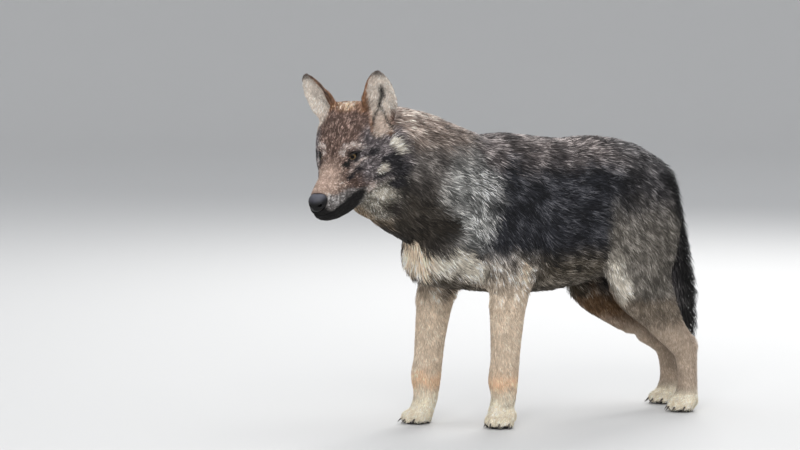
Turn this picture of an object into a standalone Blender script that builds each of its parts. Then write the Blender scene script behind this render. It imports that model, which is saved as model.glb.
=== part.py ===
"""Young grey wolf, standing with its head lowered and turned to its left. Life size, in metres.

The wolf faces -Y with its left side towards +X and stands on z = 0. Its outer form, out to the tips
of the coat, is lofted from sections, merged by a voxel remesh and shaped by soft pushes. Thin box
cuts then part it into the head, neck, trunk, legs and tail. The origin is the middle of the footprint.
"""

import math

import bmesh
import bpy
import numpy as np
from mathutils import Euler, Matrix, Vector

# Driving dimensions, all in metres. WITHERS is the height of the shoulders, coat included.
WITHERS = 0.620
FORE_TRACK = 0.066
HIND_TRACK = 0.060
FAR_FORE_STEP = 0.110
FAR_HIND_STEP = 0.038

# The head has its own frame: x forward, y left, z up, with its origin midway between the eyes.
EYES_AT = Vector((0.070, -0.400, 0.583))
HEAD_YAW, HEAD_PITCH, HEAD_ROLL = math.radians(35), math.radians(23), math.radians(2)
EYE_PLACE = Vector((-0.009, 0.0310, 0.001))
EYE_RADIUS = 0.0125

NOSE_AT = Vector((0.120, 0.0, -0.0420))
NOSE_HALF = Vector((0.0150, 0.0195, 0.0165))
NOSE_LEAN = 0.25
NOSTRIL = Vector((0.0, 0.0090, -0.001))
NOSTRIL_RADIUS = 0.0065

CUT_GAP = 0.0004
VOXEL = 0.0032
BODY_BLENDING = 80
FINE_TRIANGLES = 5850
FORM_TRIANGLES = 3560
RING_POINTS = 32
RINGS_PER_SPAN = 6
TRUNK_SQUARENESS = 0.92
LIMB_SQUARENESS = 0.95

# Where the form is cut, in metres.
HEAD_BACK = -0.125
LEG_TOP = 0.270
TAIL_FRONT = 0.440
CHEST_END = 0.105
BELLY_END = 0.270
FORE_INNER = 0.040
HIND_INNER = 0.036
JAW_BACK = 0.036
MOUTH_LINE = Matrix.Translation((0, 0, -0.076)) @ Matrix.Rotation(math.radians(-3), 4, "Y")
HEAD_CUT = Matrix.Translation((0.010, -0.295, 0.600)) @ Matrix.Rotation(math.radians(20), 4, "Z")
NECK_CUT = Matrix.Translation((0, -0.050, 0.640)) @ Matrix.Rotation(math.radians(-34.5), 4, "X")
TAIL_CUT = Matrix.Translation((0, 0.424, 0.530)) @ Matrix.Rotation(math.radians(7.0), 4, "X")

# Colours as linear RGB with a roughness, by the word in a part's name; the rest are coat.
COLOURS = {
    "eye": ((0.16, 0.08, 0.025), 0.15),
    "nose": ((0.012, 0.012, 0.014), 0.45),
    "tail": ((0.035, 0.033, 0.035), 0.9),
    "neck": ((0.17, 0.15, 0.13), 0.9),
    "paw": ((0.45, 0.38, 0.31), 0.9),
    "forearm": ((0.40, 0.34, 0.28), 0.9),
    "hock": ((0.40, 0.33, 0.28), 0.9),
    "shank": ((0.28, 0.24, 0.21), 0.9),
    "coat": ((0.15, 0.14, 0.13), 0.9),
}


def clear_scene():
    """Removes every object of the startup scene."""
    for obj in list(bpy.data.objects):
        bpy.data.objects.remove(obj)


def new_collection(name):
    """A collection linked to the scene."""
    made = bpy.data.collections.new(name)
    bpy.context.scene.collection.children.link(made)
    return made


def new_material(name, colour, roughness):
    """A Principled BSDF material."""
    material = bpy.data.materials.new(name)
    material.use_nodes = True
    shader = material.node_tree.nodes["Principled BSDF"]
    shader.inputs["Base Color"].default_value = (*colour, 1.0)
    shader.inputs["Roughness"].default_value = roughness
    shader.inputs["Metallic"].default_value = 0.0
    return material


def new_object(name, mesh, collection):
    """An object for the mesh, linked to the collection."""
    obj = bpy.data.objects.new(name, mesh)
    collection.objects.link(obj)
    return obj


def head_matrix():
    """The head frame's place in the wolf: its columns are forward, left and up."""
    pitch, yaw = HEAD_PITCH, HEAD_YAW
    forward = Vector(
        (math.sin(yaw) * math.cos(pitch), -math.cos(yaw) * math.cos(pitch), -math.sin(pitch))
    )
    level_left = Vector((math.cos(yaw), math.sin(yaw), 0.0))
    level_up = forward.cross(level_left)
    left = level_left * math.cos(HEAD_ROLL) + level_up * math.sin(HEAD_ROLL)
    turn = Matrix((forward, left, forward.cross(left))).transposed().to_4x4()
    return Matrix.Translation(EYES_AT) @ turn


def smooth_between(values, steps):
    """Rows of a Catmull-Rom spline through the rows of values, with steps rows to each span."""
    rows = np.asarray(values, float)
    padded = np.vstack([2 * rows[0] - rows[1], rows, 2 * rows[-1] - rows[-2]])
    out = []
    for i in range(len(rows) - 1):
        a, b, c, d = padded[i : i + 4]
        for t in np.arange(steps) / steps:
            out.append(
                0.5 * (2 * b + (c - a) * t + (2 * a - 5 * b + 4 * c - d) * t**2
                       + (3 * b - a - 3 * c + d) * t**3)
            )
    return np.array(out + [rows[-1]])


def rounded(angle, power):
    """Cosine and sine of angle bent towards a square by power: 1 is an ellipse, less is boxier."""
    c, s = math.cos(angle), math.sin(angle)
    return math.copysign(abs(c) ** power, c), math.copysign(abs(s) ** power, s)


def skin_rings(bm, rings):
    """Closes a stack of equal rings of points into one solid, with a fan over each end."""
    loops = [[bm.verts.new(p) for p in ring] for ring in rings]
    count = len(loops[0])
    for low, high in zip(loops, loops[1:]):
        for i in range(count):
            j = (i + 1) % count
            bm.faces.new((low[i], low[j], high[j], high[i]))
    for loop in (loops[0], loops[-1]):
        tip = bm.verts.new(sum((v.co for v in loop), Vector()) / count)
        for i in range(count):
            bm.faces.new((loop[i], loop[(i + 1) % count], tip))


def add_upright_loft(bm, sections, place=Matrix.Identity(4), along=Vector((0, 1, 0))):
    """Lofts sections that stand across one axis.

    A section is (along, side shift, top, bottom, widest height, half width).
    """
    side = Vector((0, 0, 1)).cross(along)
    rings = []
    for at, shift, top, bottom, widest, half in smooth_between(sections, RINGS_PER_SPAN):
        ring = []
        for k in range(RING_POINTS):
            c, s = rounded(2 * math.pi * k / RING_POINTS, TRUNK_SQUARENESS)
            height = widest + s * ((top - widest) if s > 0 else (widest - bottom))
            point = along * at + side * (shift + c * max(half, 1e-4)) + Vector((0, 0, height))
            ring.append(place @ point)
        rings.append(ring)
    skin_rings(bm, rings)


def add_limb(bm, stations):
    """Lofts a limb through stations of (x, y, z, half width across, half depth fore and aft)."""
    rows = smooth_between(stations, RINGS_PER_SPAN)
    centres = [Vector(row[:3]) for row in rows]
    rings = []
    for i, row in enumerate(rows):
        before, after = centres[max(i - 1, 0)], centres[min(i + 1, len(rows) - 1)]
        tangent = (after - before).normalized()
        fore = Vector((1, 0, 0)).cross(tangent).normalized()
        across = tangent.cross(fore)
        ring = []
        for k in range(RING_POINTS):
            c, s = rounded(2 * math.pi * k / RING_POINTS, LIMB_SQUARENESS)
            ring.append(centres[i] + across * (c * row[3]) + fore * (s * row[4]))
        rings.append(ring)
    skin_rings(bm, rings)


def add_ball(bm, centre, radii, turn=Euler((0, 0, 0))):
    """An ellipsoid with the given half sizes."""
    matrix = Matrix.LocRotScale(Vector(centre), turn, Vector(radii))
    bmesh.ops.create_uvsphere(bm, u_segments=24, v_segments=14, radius=1.0, matrix=matrix)


# ---------------------------------------------------------------- trunk, neck and tail

# (back from the withers, side shift, top, bottom, widest height, half width)
TRUNK_SECTIONS = (
    (-0.196, 0.000, 0.425, 0.360, 0.392, 0.020),
    (-0.180, 0.000, 0.500, 0.325, 0.395, 0.060),
    (-0.130, 0.000, 0.575, 0.300, 0.400, 0.086),
    (-0.060, 0.000, 0.612, 0.286, 0.420, 0.099),
    (0.020, 0.000, WITHERS, 0.276, 0.430, 0.105),
    (0.100, 0.000, 0.612, 0.272, 0.435, 0.106),
    (0.180, 0.000, 0.605, 0.277, 0.440, 0.103),
    (0.250, 0.000, 0.606, 0.290, 0.445, 0.099),
    (0.320, 0.000, 0.600, 0.320, 0.455, 0.094),
    (0.375, 0.000, 0.584, 0.355, 0.465, 0.086),
    (0.420, 0.000, 0.556, 0.395, 0.475, 0.068),
    (0.446, 0.000, 0.520, 0.430, 0.478, 0.042),
    (0.456, 0.000, 0.500, 0.460, 0.480, 0.010),
)

# (x, y, z, half width, half depth), from the shoulders to the back of the skull
NECK_STATIONS = (
    (0.000, 0.060, 0.440, 0.060, 0.110),
    (0.000, -0.030, 0.472, 0.084, 0.133),
    (0.000, -0.100, 0.500, 0.092, 0.138),
    (0.002, -0.170, 0.530, 0.091, 0.135),
    (0.010, -0.235, 0.556, 0.090, 0.128),
    (0.024, -0.290, 0.576, 0.086, 0.112),
    (0.040, -0.330, 0.586, 0.066, 0.075),
)

TAIL_STATIONS = (
    (0.000, 0.385, 0.545, 0.022, 0.024),
    (0.000, 0.428, 0.522, 0.028, 0.029),
    (0.001, 0.452, 0.470, 0.030, 0.029),
    (0.003, 0.467, 0.395, 0.031, 0.031),
    (0.004, 0.480, 0.315, 0.032, 0.035),
    (0.004, 0.493, 0.235, 0.031, 0.034),
    (0.004, 0.502, 0.165, 0.023, 0.024),
    (0.004, 0.507, 0.130, 0.010, 0.010),
    (0.004, 0.508, 0.118, 0.003, 0.003),
)

# ---------------------------------------------------------------- legs

# Each station is (sideways from the track, back from the paw, height, half width, half depth).
FORE_STATIONS = (
    (-0.004, 0.010, 0.530, 0.020, 0.045),
    (0.004, -0.010, 0.480, 0.030, 0.068),
    (0.008, -0.020, 0.420, 0.034, 0.075),
    (0.008, -0.002, 0.360, 0.034, 0.067),
    (0.005, 0.012, 0.315, 0.031, 0.057),
    (0.002, 0.010, 0.270, 0.028, 0.0465),
    (0.000, 0.007, 0.200, 0.026, 0.0385),
    (0.000, 0.004, 0.140, 0.0255, 0.035),
    (0.000, 0.000, 0.100, 0.0285, 0.036),
    (0.000, 0.001, 0.070, 0.0255, 0.0305),
    (0.000, -0.003, 0.045, 0.026, 0.026),
    (0.000, -0.010, 0.024, 0.028, 0.024),
    (0.000, -0.012, 0.008, 0.022, 0.018),
)

# Each station is (sideways from the track, back from the paw, height, half width, half depth).
HIND_STATIONS = (
    (-0.028, -0.110, 0.540, 0.020, 0.040),
    (-0.010, -0.106, 0.500, 0.034, 0.072),
    (0.000, -0.116, 0.440, 0.042, 0.090),
    (0.006, -0.132, 0.380, 0.042, 0.095),
    (0.008, -0.136, 0.325, 0.038, 0.091),
    (0.007, -0.120, 0.275, 0.034, 0.075),
    (0.004, -0.084, 0.225, 0.029, 0.052),
    (0.001, -0.043, 0.175, 0.025, 0.036),
    (-0.001, -0.010, 0.138, 0.024, 0.030),
    (0.000, -0.003, 0.105, 0.0225, 0.024),
    (0.000, -0.001, 0.065, 0.0220, 0.0225),
    (0.000, -0.004, 0.035, 0.0250, 0.0240),
    (0.000, -0.012, 0.012, 0.0220, 0.0180),
)
HOCK_POINT = (0.000, 0.012, 0.142)

# Each toe is (sideways, forward of the paw's middle, half width), from the inside out.
TOES = ((-0.0235, 0.026, 0.0105), (-0.0085, 0.041, 0.0115), (0.0085, 0.042, 0.0115), (0.0235, 0.027, 0.0105))
TOE_HALF_LENGTH = 0.0180
TOE_HEIGHT = 0.0143
TOE_SPLAY = 9.0
PAW_MIDDLE = 0.004
PAD_SNAP = 0.0010
KNEE_HEIGHT = 0.270
KNEE_REACH = 0.160
CLAW_ROOT = 0.010
CLAW_TIP = 0.0003
CLAW_LIFT = 0.0006
CLAW_THINNESS = 0.8
CLAW_LENGTH = 0.019
CLAW_DROP = 0.0110
CLAW_RADIUS = 0.0034
CLAW_RINGS = 3
CLAW_SIDES = 6


class Leg:
    """One leg: its side (+1 left, -1 right), where its paw stands, and its sizes."""

    def __init__(self, name, side, paw, stations, toe_scale, toe_out, lead=0.0, lag=1.0, knee=0.0):
        self.name = name
        self.side = side
        self.paw = Vector(paw)
        self.stations = stations
        self.toe_scale = toe_scale
        self.toe_out = math.radians(side * toe_out)
        self.lead = lead
        self.lag = lag
        self.knee = knee

    def at(self, sideways, back, height):
        """A point of the leg from its track, its paw and the floor."""
        return Vector((self.paw.x + self.side * sideways, self.paw.y + back, height))

    def follow(self, height):
        """How far back of the stepping paw the leg lies at a height, as its top stays with the trunk."""
        knee = max(0.0, 1.0 - ((height - KNEE_HEIGHT) / KNEE_REACH) ** 2) ** 2
        return self.lead * (height / self.stations[0][2]) ** self.lag - self.knee * knee

    def toe_places(self):
        """(centre, half width, splay) for each toe."""
        for sideways, forward, half in TOES:
            reach = Vector((self.side * sideways, PAW_MIDDLE - forward, 0)) * self.toe_scale
            reach.rotate(Euler((0, 0, self.toe_out)))
            centre = self.paw + reach + Vector((0, 0, TOE_HEIGHT))
            splay = self.toe_out + self.side * sideways * TOE_SPLAY
            yield centre, half * self.toe_scale, splay


LEGS = (
    Leg("foreleg_left", 1, (FORE_TRACK, 0.002, 0), FORE_STATIONS, 0.97, 38),
    Leg("foreleg_right", -1, (-FORE_TRACK, -FAR_FORE_STEP, 0), FORE_STATIONS, 0.97, 10,
        lead=FAR_FORE_STEP, lag=3.0),
    Leg("hindleg_left", 1, (HIND_TRACK, 0.478, 0), HIND_STATIONS, 0.93, 12),
    Leg("hindleg_right", -1, (-HIND_TRACK, 0.478 + FAR_HIND_STEP, 0), HIND_STATIONS, 0.93, 6,
        lead=-FAR_HIND_STEP, lag=1.3, knee=0.048),
)


def add_leg(bm, leg):
    """The leg's loft with its paw, toes and pads."""
    stations = []
    for sideways, back, height, half_width, half_depth in leg.stations:
        point = leg.at(sideways, back + leg.follow(height), height)
        stations.append((*point, half_width, half_depth))
    add_limb(bm, stations)
    if leg.name.startswith("hind"):
        sideways, back, height = HOCK_POINT
        add_ball(bm, leg.at(sideways, back + leg.follow(height), height), (0.014, 0.016, 0.026))
    for centre, half, splay in leg.toe_places():
        turn = Euler((math.radians(12), 0, splay))
        add_ball(bm, centre, (half, TOE_HALF_LENGTH, 0.0165), turn)
        knuckle = Vector((0, 0.017, 0.010))
        knuckle.rotate(Euler((0, 0, leg.toe_out)))
        add_ball(bm, centre + knuckle, (half * 1.05, 0.016, 0.0165), turn)
    add_ball(bm, leg.at(0, -0.006, 0.010), (0.021, 0.020, 0.013))


# ---------------------------------------------------------------- head

# In the head frame: (forward, side shift, top, bottom, widest height, half width)
HEAD_SECTIONS = (
    (0.124, 0.0, -0.036, -0.062, -0.049, 0.010),
    (0.119, 0.0, -0.025, -0.080, -0.052, 0.0180),
    (0.106, 0.0, -0.017, -0.091, -0.058, 0.0240),
    (0.082, 0.0, -0.011, -0.102, -0.062, 0.0280),
    (0.056, 0.0, -0.005, -0.110, -0.062, 0.0320),
    (0.032, 0.0, 0.007, -0.115, -0.056, 0.0400),
    (0.010, 0.0, 0.026, -0.118, -0.046, 0.0460),
    (-0.018, 0.0, 0.047, -0.119, -0.038, 0.0575),
    (-0.050, 0.0, 0.066, -0.118, -0.030, 0.0750),
    (-0.085, 0.0, 0.077, -0.120, -0.034, 0.0880),
    (-0.120, 0.0, 0.070, -0.116, -0.036, 0.0860),
    (-0.155, 0.0, 0.048, -0.098, -0.034, 0.0700),
    (-0.180, 0.0, 0.000, -0.050, -0.025, 0.0300),
)

EAR_HEIGHT = 0.116
EAR_HALF_WIDTH = 0.0320
EAR_THICKNESS = 0.0060
# Each ear is its base, its tip and the way it faces, in the head frame, and how far the outer edge
# of its base spreads, as a share of its width.
EARS = {
    "left": (
        Vector((-0.084, 0.064, 0.032)),
        Vector((-0.088, 0.086, 0.152)),
        Vector((0.90, 0.34, -0.05)),
        0.48,
    ),
    "right": (
        Vector((-0.084, -0.042, 0.036)),
        Vector((-0.084, -0.094, 0.146)),
        Vector((0.96, -0.16, -0.05)),
        0.00,
    ),
}
EAR_CUT = 0.032


def ear_outline(t):
    """Half width of the ear at t from base 0 to tip 1, as a share of its widest."""
    return (0.62 + 1.25 * t - 0.70 * t**2) * (1.0 - t**2.3) ** 0.70


def ear_axes(name):
    """The ear's base, with its directions across, up and facing, in the head frame."""
    base, tip, facing = EARS[name][:3]
    up = (tip - base).normalized()
    across = up.cross(facing).normalized()
    return base, across, up, across.cross(up)


def ear_sheet(name):
    """An open cup-shaped sheet for one ear, in the head frame."""
    base, across, up, facing = ear_axes(name)
    rows, columns = 14, 12
    mesh = bpy.data.meshes.new("ear_sheet")
    bm = bmesh.new()
    grid = []
    for i in range(rows + 1):
        t = i / rows * 0.985
        half_angle = math.radians(92 - 42 * t)
        radius = EAR_HALF_WIDTH * ear_outline(t) / math.sin(half_angle)
        flare = EARS[name][3] * (1 - t)
        centre = base + up * (EAR_HEIGHT * t) + facing * (-0.016 - 0.010 * math.sin(math.pi * t))
        row = []
        for j in range(columns + 1):
            angle = half_angle * (2 * j / columns - 1)
            reach = across * (radius * math.sin(angle)) + facing * (radius * (1 - math.cos(angle)))
            if angle * base.y > 0:
                reach += across * (radius * flare * math.sin(angle))
            row.append(bm.verts.new(centre + reach))
        grid.append(row)
    for low, high in zip(grid, grid[1:]):
        for j in range(columns):
            bm.faces.new((low[j], low[j + 1], high[j + 1], high[j]))
    bmesh.ops.recalc_face_normals(bm, faces=bm.faces)
    bm.to_mesh(mesh)
    bm.free()
    return mesh


def add_ear(bm, name, place, workshop):
    """Adds one ear, thickened, to the form."""
    sheet = new_object(f"ear_sheet_{name}", ear_sheet(name), workshop)
    sheet.matrix_world = place
    thicken = sheet.modifiers.new("thickness", "SOLIDIFY")
    thicken.thickness = EAR_THICKNESS
    thicken.offset = 0.0
    solid = evaluated_mesh(sheet)
    solid.transform(place)
    bm.from_mesh(solid)
    bpy.data.objects.remove(sheet)


def evaluated_mesh(obj):
    """The object's mesh with its modifiers applied, in its own space."""
    graph = bpy.context.evaluated_depsgraph_get()
    graph.update()
    return bpy.data.meshes.new_from_object(obj.evaluated_get(graph))


def push(points, centre, radii, move):
    """Moves the points near centre by move, fading smoothly to nothing at the radii."""
    local = (points - np.array(centre)) / np.array(radii)
    share = np.clip(1.0 - (local**2).sum(axis=1), 0.0, 1.0) ** 2
    points += share[:, None] * np.array(move)


def shape_head(points):
    """Presses and raises the head's features on points in the head frame."""
    for side in (1, -1):
        eye = np.array((EYE_PLACE.x, side * EYE_PLACE.y, EYE_PLACE.z))
        push(points, eye + (0.014, side * 0.010, -0.002), (0.026, 0.026, 0.020), (-0.003, -side * 0.006, 0))
        push(points, eye + (0.016, -side * 0.004, 0.0), (0.022, 0.016, 0.018), (-0.005, -side * 0.001, 0))
        push(points, eye + (-0.004, side * 0.004, 0.022), (0.030, 0.024, 0.016), (0.003, side * 0.002, 0.002))
        push(points, (-0.030, side * 0.060, -0.030), (0.045, 0.035, 0.030), (0, side * 0.004, 0))
        push(points, (0.100, side * 0.026, -0.060), (0.034, 0.020, 0.020), (0, side * 0.003, 0))
        push(points, (0.050, side * 0.036, -0.028), (0.040, 0.018, 0.026), (0, -side * 0.004, 0))
        push(points, (-0.110, side * 0.085, -0.070), (0.075, 0.060, 0.065), (-0.004, side * 0.012, -0.004))
    push(points, (0.020, 0, 0.020), (0.035, 0.026, 0.030), (0, 0, -0.003))
    push(points, (-0.045, 0, 0.075), (0.050, 0.022, 0.030), (0, 0, -0.003))


# ---------------------------------------------------------------- the whole form


def mesh_points(mesh):
    """The mesh's vertices as an array."""
    points = np.empty(len(mesh.vertices) * 3, np.float32)
    mesh.vertices.foreach_get("co", points)
    return points.reshape(-1, 3).astype(float)


def apply_modifiers(obj):
    """Bakes the object's modifiers into its mesh."""
    obj.data = evaluated_mesh(obj)
    obj.modifiers.clear()


def weigh(obj, name, weights):
    """Stores one weight per vertex, in steps of a tenth, as a vertex group."""
    group = obj.vertex_groups.new(name=name)
    tenths = np.rint(np.clip(weights, 0, 1) * 10).astype(int)
    for tenth in range(1, 11):
        group.add(np.flatnonzero(tenths == tenth).tolist(), tenth / 10, "REPLACE")


def thin_out(obj, triangles, group=""):
    """Collapses the mesh to about this many triangles, within the vertex group if one is named."""
    obj.data.calc_loop_triangles()
    thin = obj.modifiers.new("thin_out", "DECIMATE")
    thin.ratio = triangles / len(obj.data.loop_triangles)
    thin.vertex_group = group
    thin.vertex_group_factor = 10.0
    apply_modifiers(obj)


def in_frame(points, place):
    """The points in the frame of the matrix place."""
    inverse = np.array(place.inverted())
    return points @ inverse[:3, :3].T + inverse[:3, 3]


def whole_form(workshop):
    """The outer form in one closed mesh, lofted, merged, shaped and thinned out."""
    place = head_matrix()
    bm = bmesh.new()
    add_upright_loft(bm, TRUNK_SECTIONS)
    add_limb(bm, NECK_STATIONS)
    add_limb(bm, TAIL_STATIONS)
    add_upright_loft(bm, HEAD_SECTIONS, place, Vector((1, 0, 0)))
    for name in EARS:
        add_ear(bm, name, place, workshop)
    for leg in LEGS:
        add_leg(bm, leg)
    bmesh.ops.recalc_face_normals(bm, faces=bm.faces)
    mesh = bpy.data.meshes.new("rough_form")
    bm.to_mesh(mesh)
    bm.free()

    form = new_object("whole_form", mesh, workshop)
    merge = form.modifiers.new("merge", "REMESH")
    merge.mode = "VOXEL"
    merge.voxel_size = VOXEL
    relax = form.modifiers.new("relax", "SMOOTH")
    relax.factor = 0.5
    relax.iterations = 5
    apply_modifiers(form)

    points = mesh_points(form.data)
    off_head = in_frame(points, place)[:, 0] < HEAD_BACK
    on_body = np.clip((points[:, 2] - LEG_TOP) / 0.05, 0, 1) * off_head * (points[:, 1] < TAIL_FRONT)
    weigh(form, "body", on_body)
    blend = form.modifiers.new("blend", "SMOOTH")
    blend.factor = 0.5
    blend.iterations = BODY_BLENDING
    blend.vertex_group = "body"
    apply_modifiers(form)

    points = mesh_points(form.data)
    in_head = in_frame(points, place)
    before = in_head.copy()
    shape_head(in_head)
    points += (in_head - before) @ np.array(place)[:3, :3].T
    points[:, 2] = np.maximum(points[:, 2], 0.0)
    form.data.vertices.foreach_set("co", points.astype(np.float32).ravel())
    form.data.update()

    form.vertex_groups.clear()
    thin_out(form, FINE_TRIANGLES)
    points = mesh_points(form.data)
    fine = (in_frame(points, place)[:, 0] > HEAD_BACK) & (points[:, 2] > 0.4) | (points[:, 2] < 0.05)
    weigh(form, "plain", 1.0 - fine)
    thin_out(form, FORM_TRIANGLES, "plain")
    form.vertex_groups.clear()
    for vert in form.data.vertices:
        if vert.co.z < PAD_SNAP:
            vert.co.z = 0.0
    return form


# ---------------------------------------------------------------- eyes, nose and claws


def add_eye(bm, side, extra):
    """One eyeball, larger by extra all round."""
    centre = head_matrix() @ (EYE_PLACE * Vector((1, side, 1)))
    matrix = Matrix.LocRotScale(centre, Euler((0, 0, 0)), None)
    bmesh.ops.create_uvsphere(bm, u_segments=16, v_segments=9, radius=EYE_RADIUS + extra, matrix=matrix)


def add_nose(bm, extra):
    """The nose pad: a rounded block with a flatter top, a groove and two hollow nostrils."""
    place = head_matrix()
    made = bmesh.ops.create_uvsphere(bm, u_segments=18, v_segments=11, radius=1.0)
    for vert in made["verts"]:
        x, y, z = (math.copysign(abs(part) ** 0.82, part) for part in vert.co)
        wide = NOSE_HALF.y * (1.0 - 0.25 * max(-z, 0.0))
        shape = Vector((x * NOSE_HALF.x, y * wide, z * NOSE_HALF.z))
        shape.x -= NOSE_LEAN * abs(shape.y) + NOSE_LEAN * shape.z
        for side in (1, -1):
            away = Vector((shape.y - side * NOSTRIL.y, shape.z - NOSTRIL.z))
            hollow = max(0.0, 1.0 - (away.length / NOSTRIL_RADIUS) ** 2) ** 2
            if x > 0:
                shape.x -= 0.0045 * hollow
        vert.co = place @ (NOSE_AT + shape + shape.normalized() * extra)


def add_claw(bm, centre, splay):
    """One claw, curving forward and down out of its toe."""
    ahead = Vector((0, -1, 0))
    ahead.rotate(Euler((0, 0, splay)))
    side = ahead.cross(Vector((0, 0, 1)))
    rings = []
    for i in range(CLAW_RINGS + 1):
        t = i / CLAW_RINGS
        radius = CLAW_RADIUS * (1.0 - t) ** 0.6 + CLAW_TIP
        spine = centre + ahead * (CLAW_ROOT + CLAW_LENGTH * t) - Vector((0, 0, CLAW_DROP * t**1.8))
        spine.z = max(spine.z, radius + CLAW_LIFT)
        ring = []
        for k in range(CLAW_SIDES):
            angle = 2 * math.pi * k / CLAW_SIDES
            across = side * (CLAW_THINNESS * radius * math.cos(angle))
            ring.append(spine + across + Vector((0, 0, radius * math.sin(angle))))
        rings.append(ring)
    skin_rings(bm, rings)


def solid(name, build, collection):
    """An object made by calling build on an empty bmesh."""
    bm = bmesh.new()
    build(bm)
    bmesh.ops.recalc_face_normals(bm, faces=bm.faces)
    mesh = bpy.data.meshes.new(name)
    bm.to_mesh(mesh)
    bm.free()
    return new_object(name, mesh, collection)


# ---------------------------------------------------------------- parting


def boolean(obj, other, operation):
    """Applies one exact Boolean to the object."""
    cut = obj.modifiers.new("cut", "BOOLEAN")
    cut.operation = operation
    cut.solver = "EXACT"
    cut.object = other
    apply_modifiers(obj)


def keep_largest(obj):
    """Drops every loose piece but the one with the most faces."""
    bm = bmesh.new()
    bm.from_mesh(obj.data)
    left = set(bm.faces)
    shells = []
    while left:
        shell = {left.pop()}
        edge = list(shell)
        while edge:
            face = edge.pop()
            for near in {f for e in face.edges for f in e.link_faces} & left:
                left.discard(near)
                shell.add(near)
                edge.append(near)
        shells.append(shell)
    shells.sort(key=len)
    dropped = [face for shell in shells[:-1] for face in shell]
    bmesh.ops.delete(bm, geom=dropped, context="FACES")
    bm.to_mesh(obj.data)
    bm.free()


def cell_box(name, low, high, place, extra, workshop):
    """A box between two corners in the frame place, larger by extra all round."""
    low = Vector(low) - Vector((extra, extra, extra))
    high = Vector(high) + Vector((extra, extra, extra))
    middle, size = (low + high) / 2, high - low

    def build(bm):
        bmesh.ops.create_cube(bm, size=1.0, matrix=place @ Matrix.LocRotScale(middle, None, size))

    return solid(name, build, workshop)


def leg_cells(leg):
    """The cells that part one leg, from the paw up, as (name, low corner, high corner)."""
    x = sorted((leg.side * 0.012, leg.side * 0.200))
    y = leg.paw.y
    if leg.name.startswith("fore"):
        inner = sorted((leg.side * FORE_INNER, leg.side * 0.200))
        shift = leg.lead * 0.6
        return (
            ("paw", (x[0], y - 0.090, -0.010), (x[1], y + 0.080, 0.058)),
            ("forearm", (x[0], y - 0.080, 0.050), (x[1], y + 0.110, 0.270)),
            ("shoulder", (inner[0], y - 0.090 + shift, 0.265), (inner[1], y + 0.085 + shift, 0.500)),
        )
    inner = sorted((leg.side * HIND_INNER, leg.side * 0.200))
    return (
        ("paw", (x[0], y - 0.090, -0.010), (x[1], y + 0.080, 0.046)),
        ("hock", (x[0], y - 0.090, 0.040), (x[1], y + 0.080, 0.165)),
        ("shank", (x[0], y - 0.300, 0.160), (x[1], y + 0.120, 0.262)),
        ("thigh", (inner[0], y - 0.240, 0.258), (inner[1], y + 0.120, 0.500)),
    )


def ear_place(name):
    """The frame of one ear: x across, y up the ear, z the way it faces."""
    base, across, up, facing = ear_axes(name)
    turn = Matrix((across, up, facing)).transposed().to_4x4()
    return head_matrix() @ Matrix.Translation(base) @ turn


def all_cells():
    """Every cell in the order of cutting, as (node name, low corner, high corner, frame)."""
    cells = []
    for name in EARS:
        cells.append((f"ear_{name}", (-0.044, EAR_CUT, -0.050), (0.050, 0.160, 0.050), ear_place(name)))
    cells.append(("jaw", (JAW_BACK, -0.060, -0.140), (0.150, 0.060, 0.0), head_matrix() @ MOUTH_LINE))
    cells.append(("head", (-0.300, -0.450, -0.220), (0.300, 0.000, 0.300), HEAD_CUT))
    cells.append(("neck", (-0.300, -0.500, -0.500), (0.300, 0.000, 0.300), NECK_CUT))
    cells.append(("tail", (-0.0300, 0.000, -0.480), (0.0375, 0.150, 0.012), TAIL_CUT))
    for leg in LEGS:
        for part, low, high in leg_cells(leg):
            cells.append((f"{leg.name}_{part}", low, high, Matrix.Identity(4)))
    cells.append(("chest", (-0.300, -0.400, 0.100), (0.300, CHEST_END, 0.800), Matrix.Identity(4)))
    cells.append(("belly", (-0.300, CHEST_END, 0.100), (0.300, BELLY_END, 0.800), Matrix.Identity(4)))
    return cells


def paint(obj, material):
    """Gives the object its own material and smooth shading with sharp edges kept."""
    obj.data.materials.clear()
    obj.data.materials.append(material)
    obj.data.shade_smooth()
    obj.data.set_sharp_from_angle(angle=math.radians(50))


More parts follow.
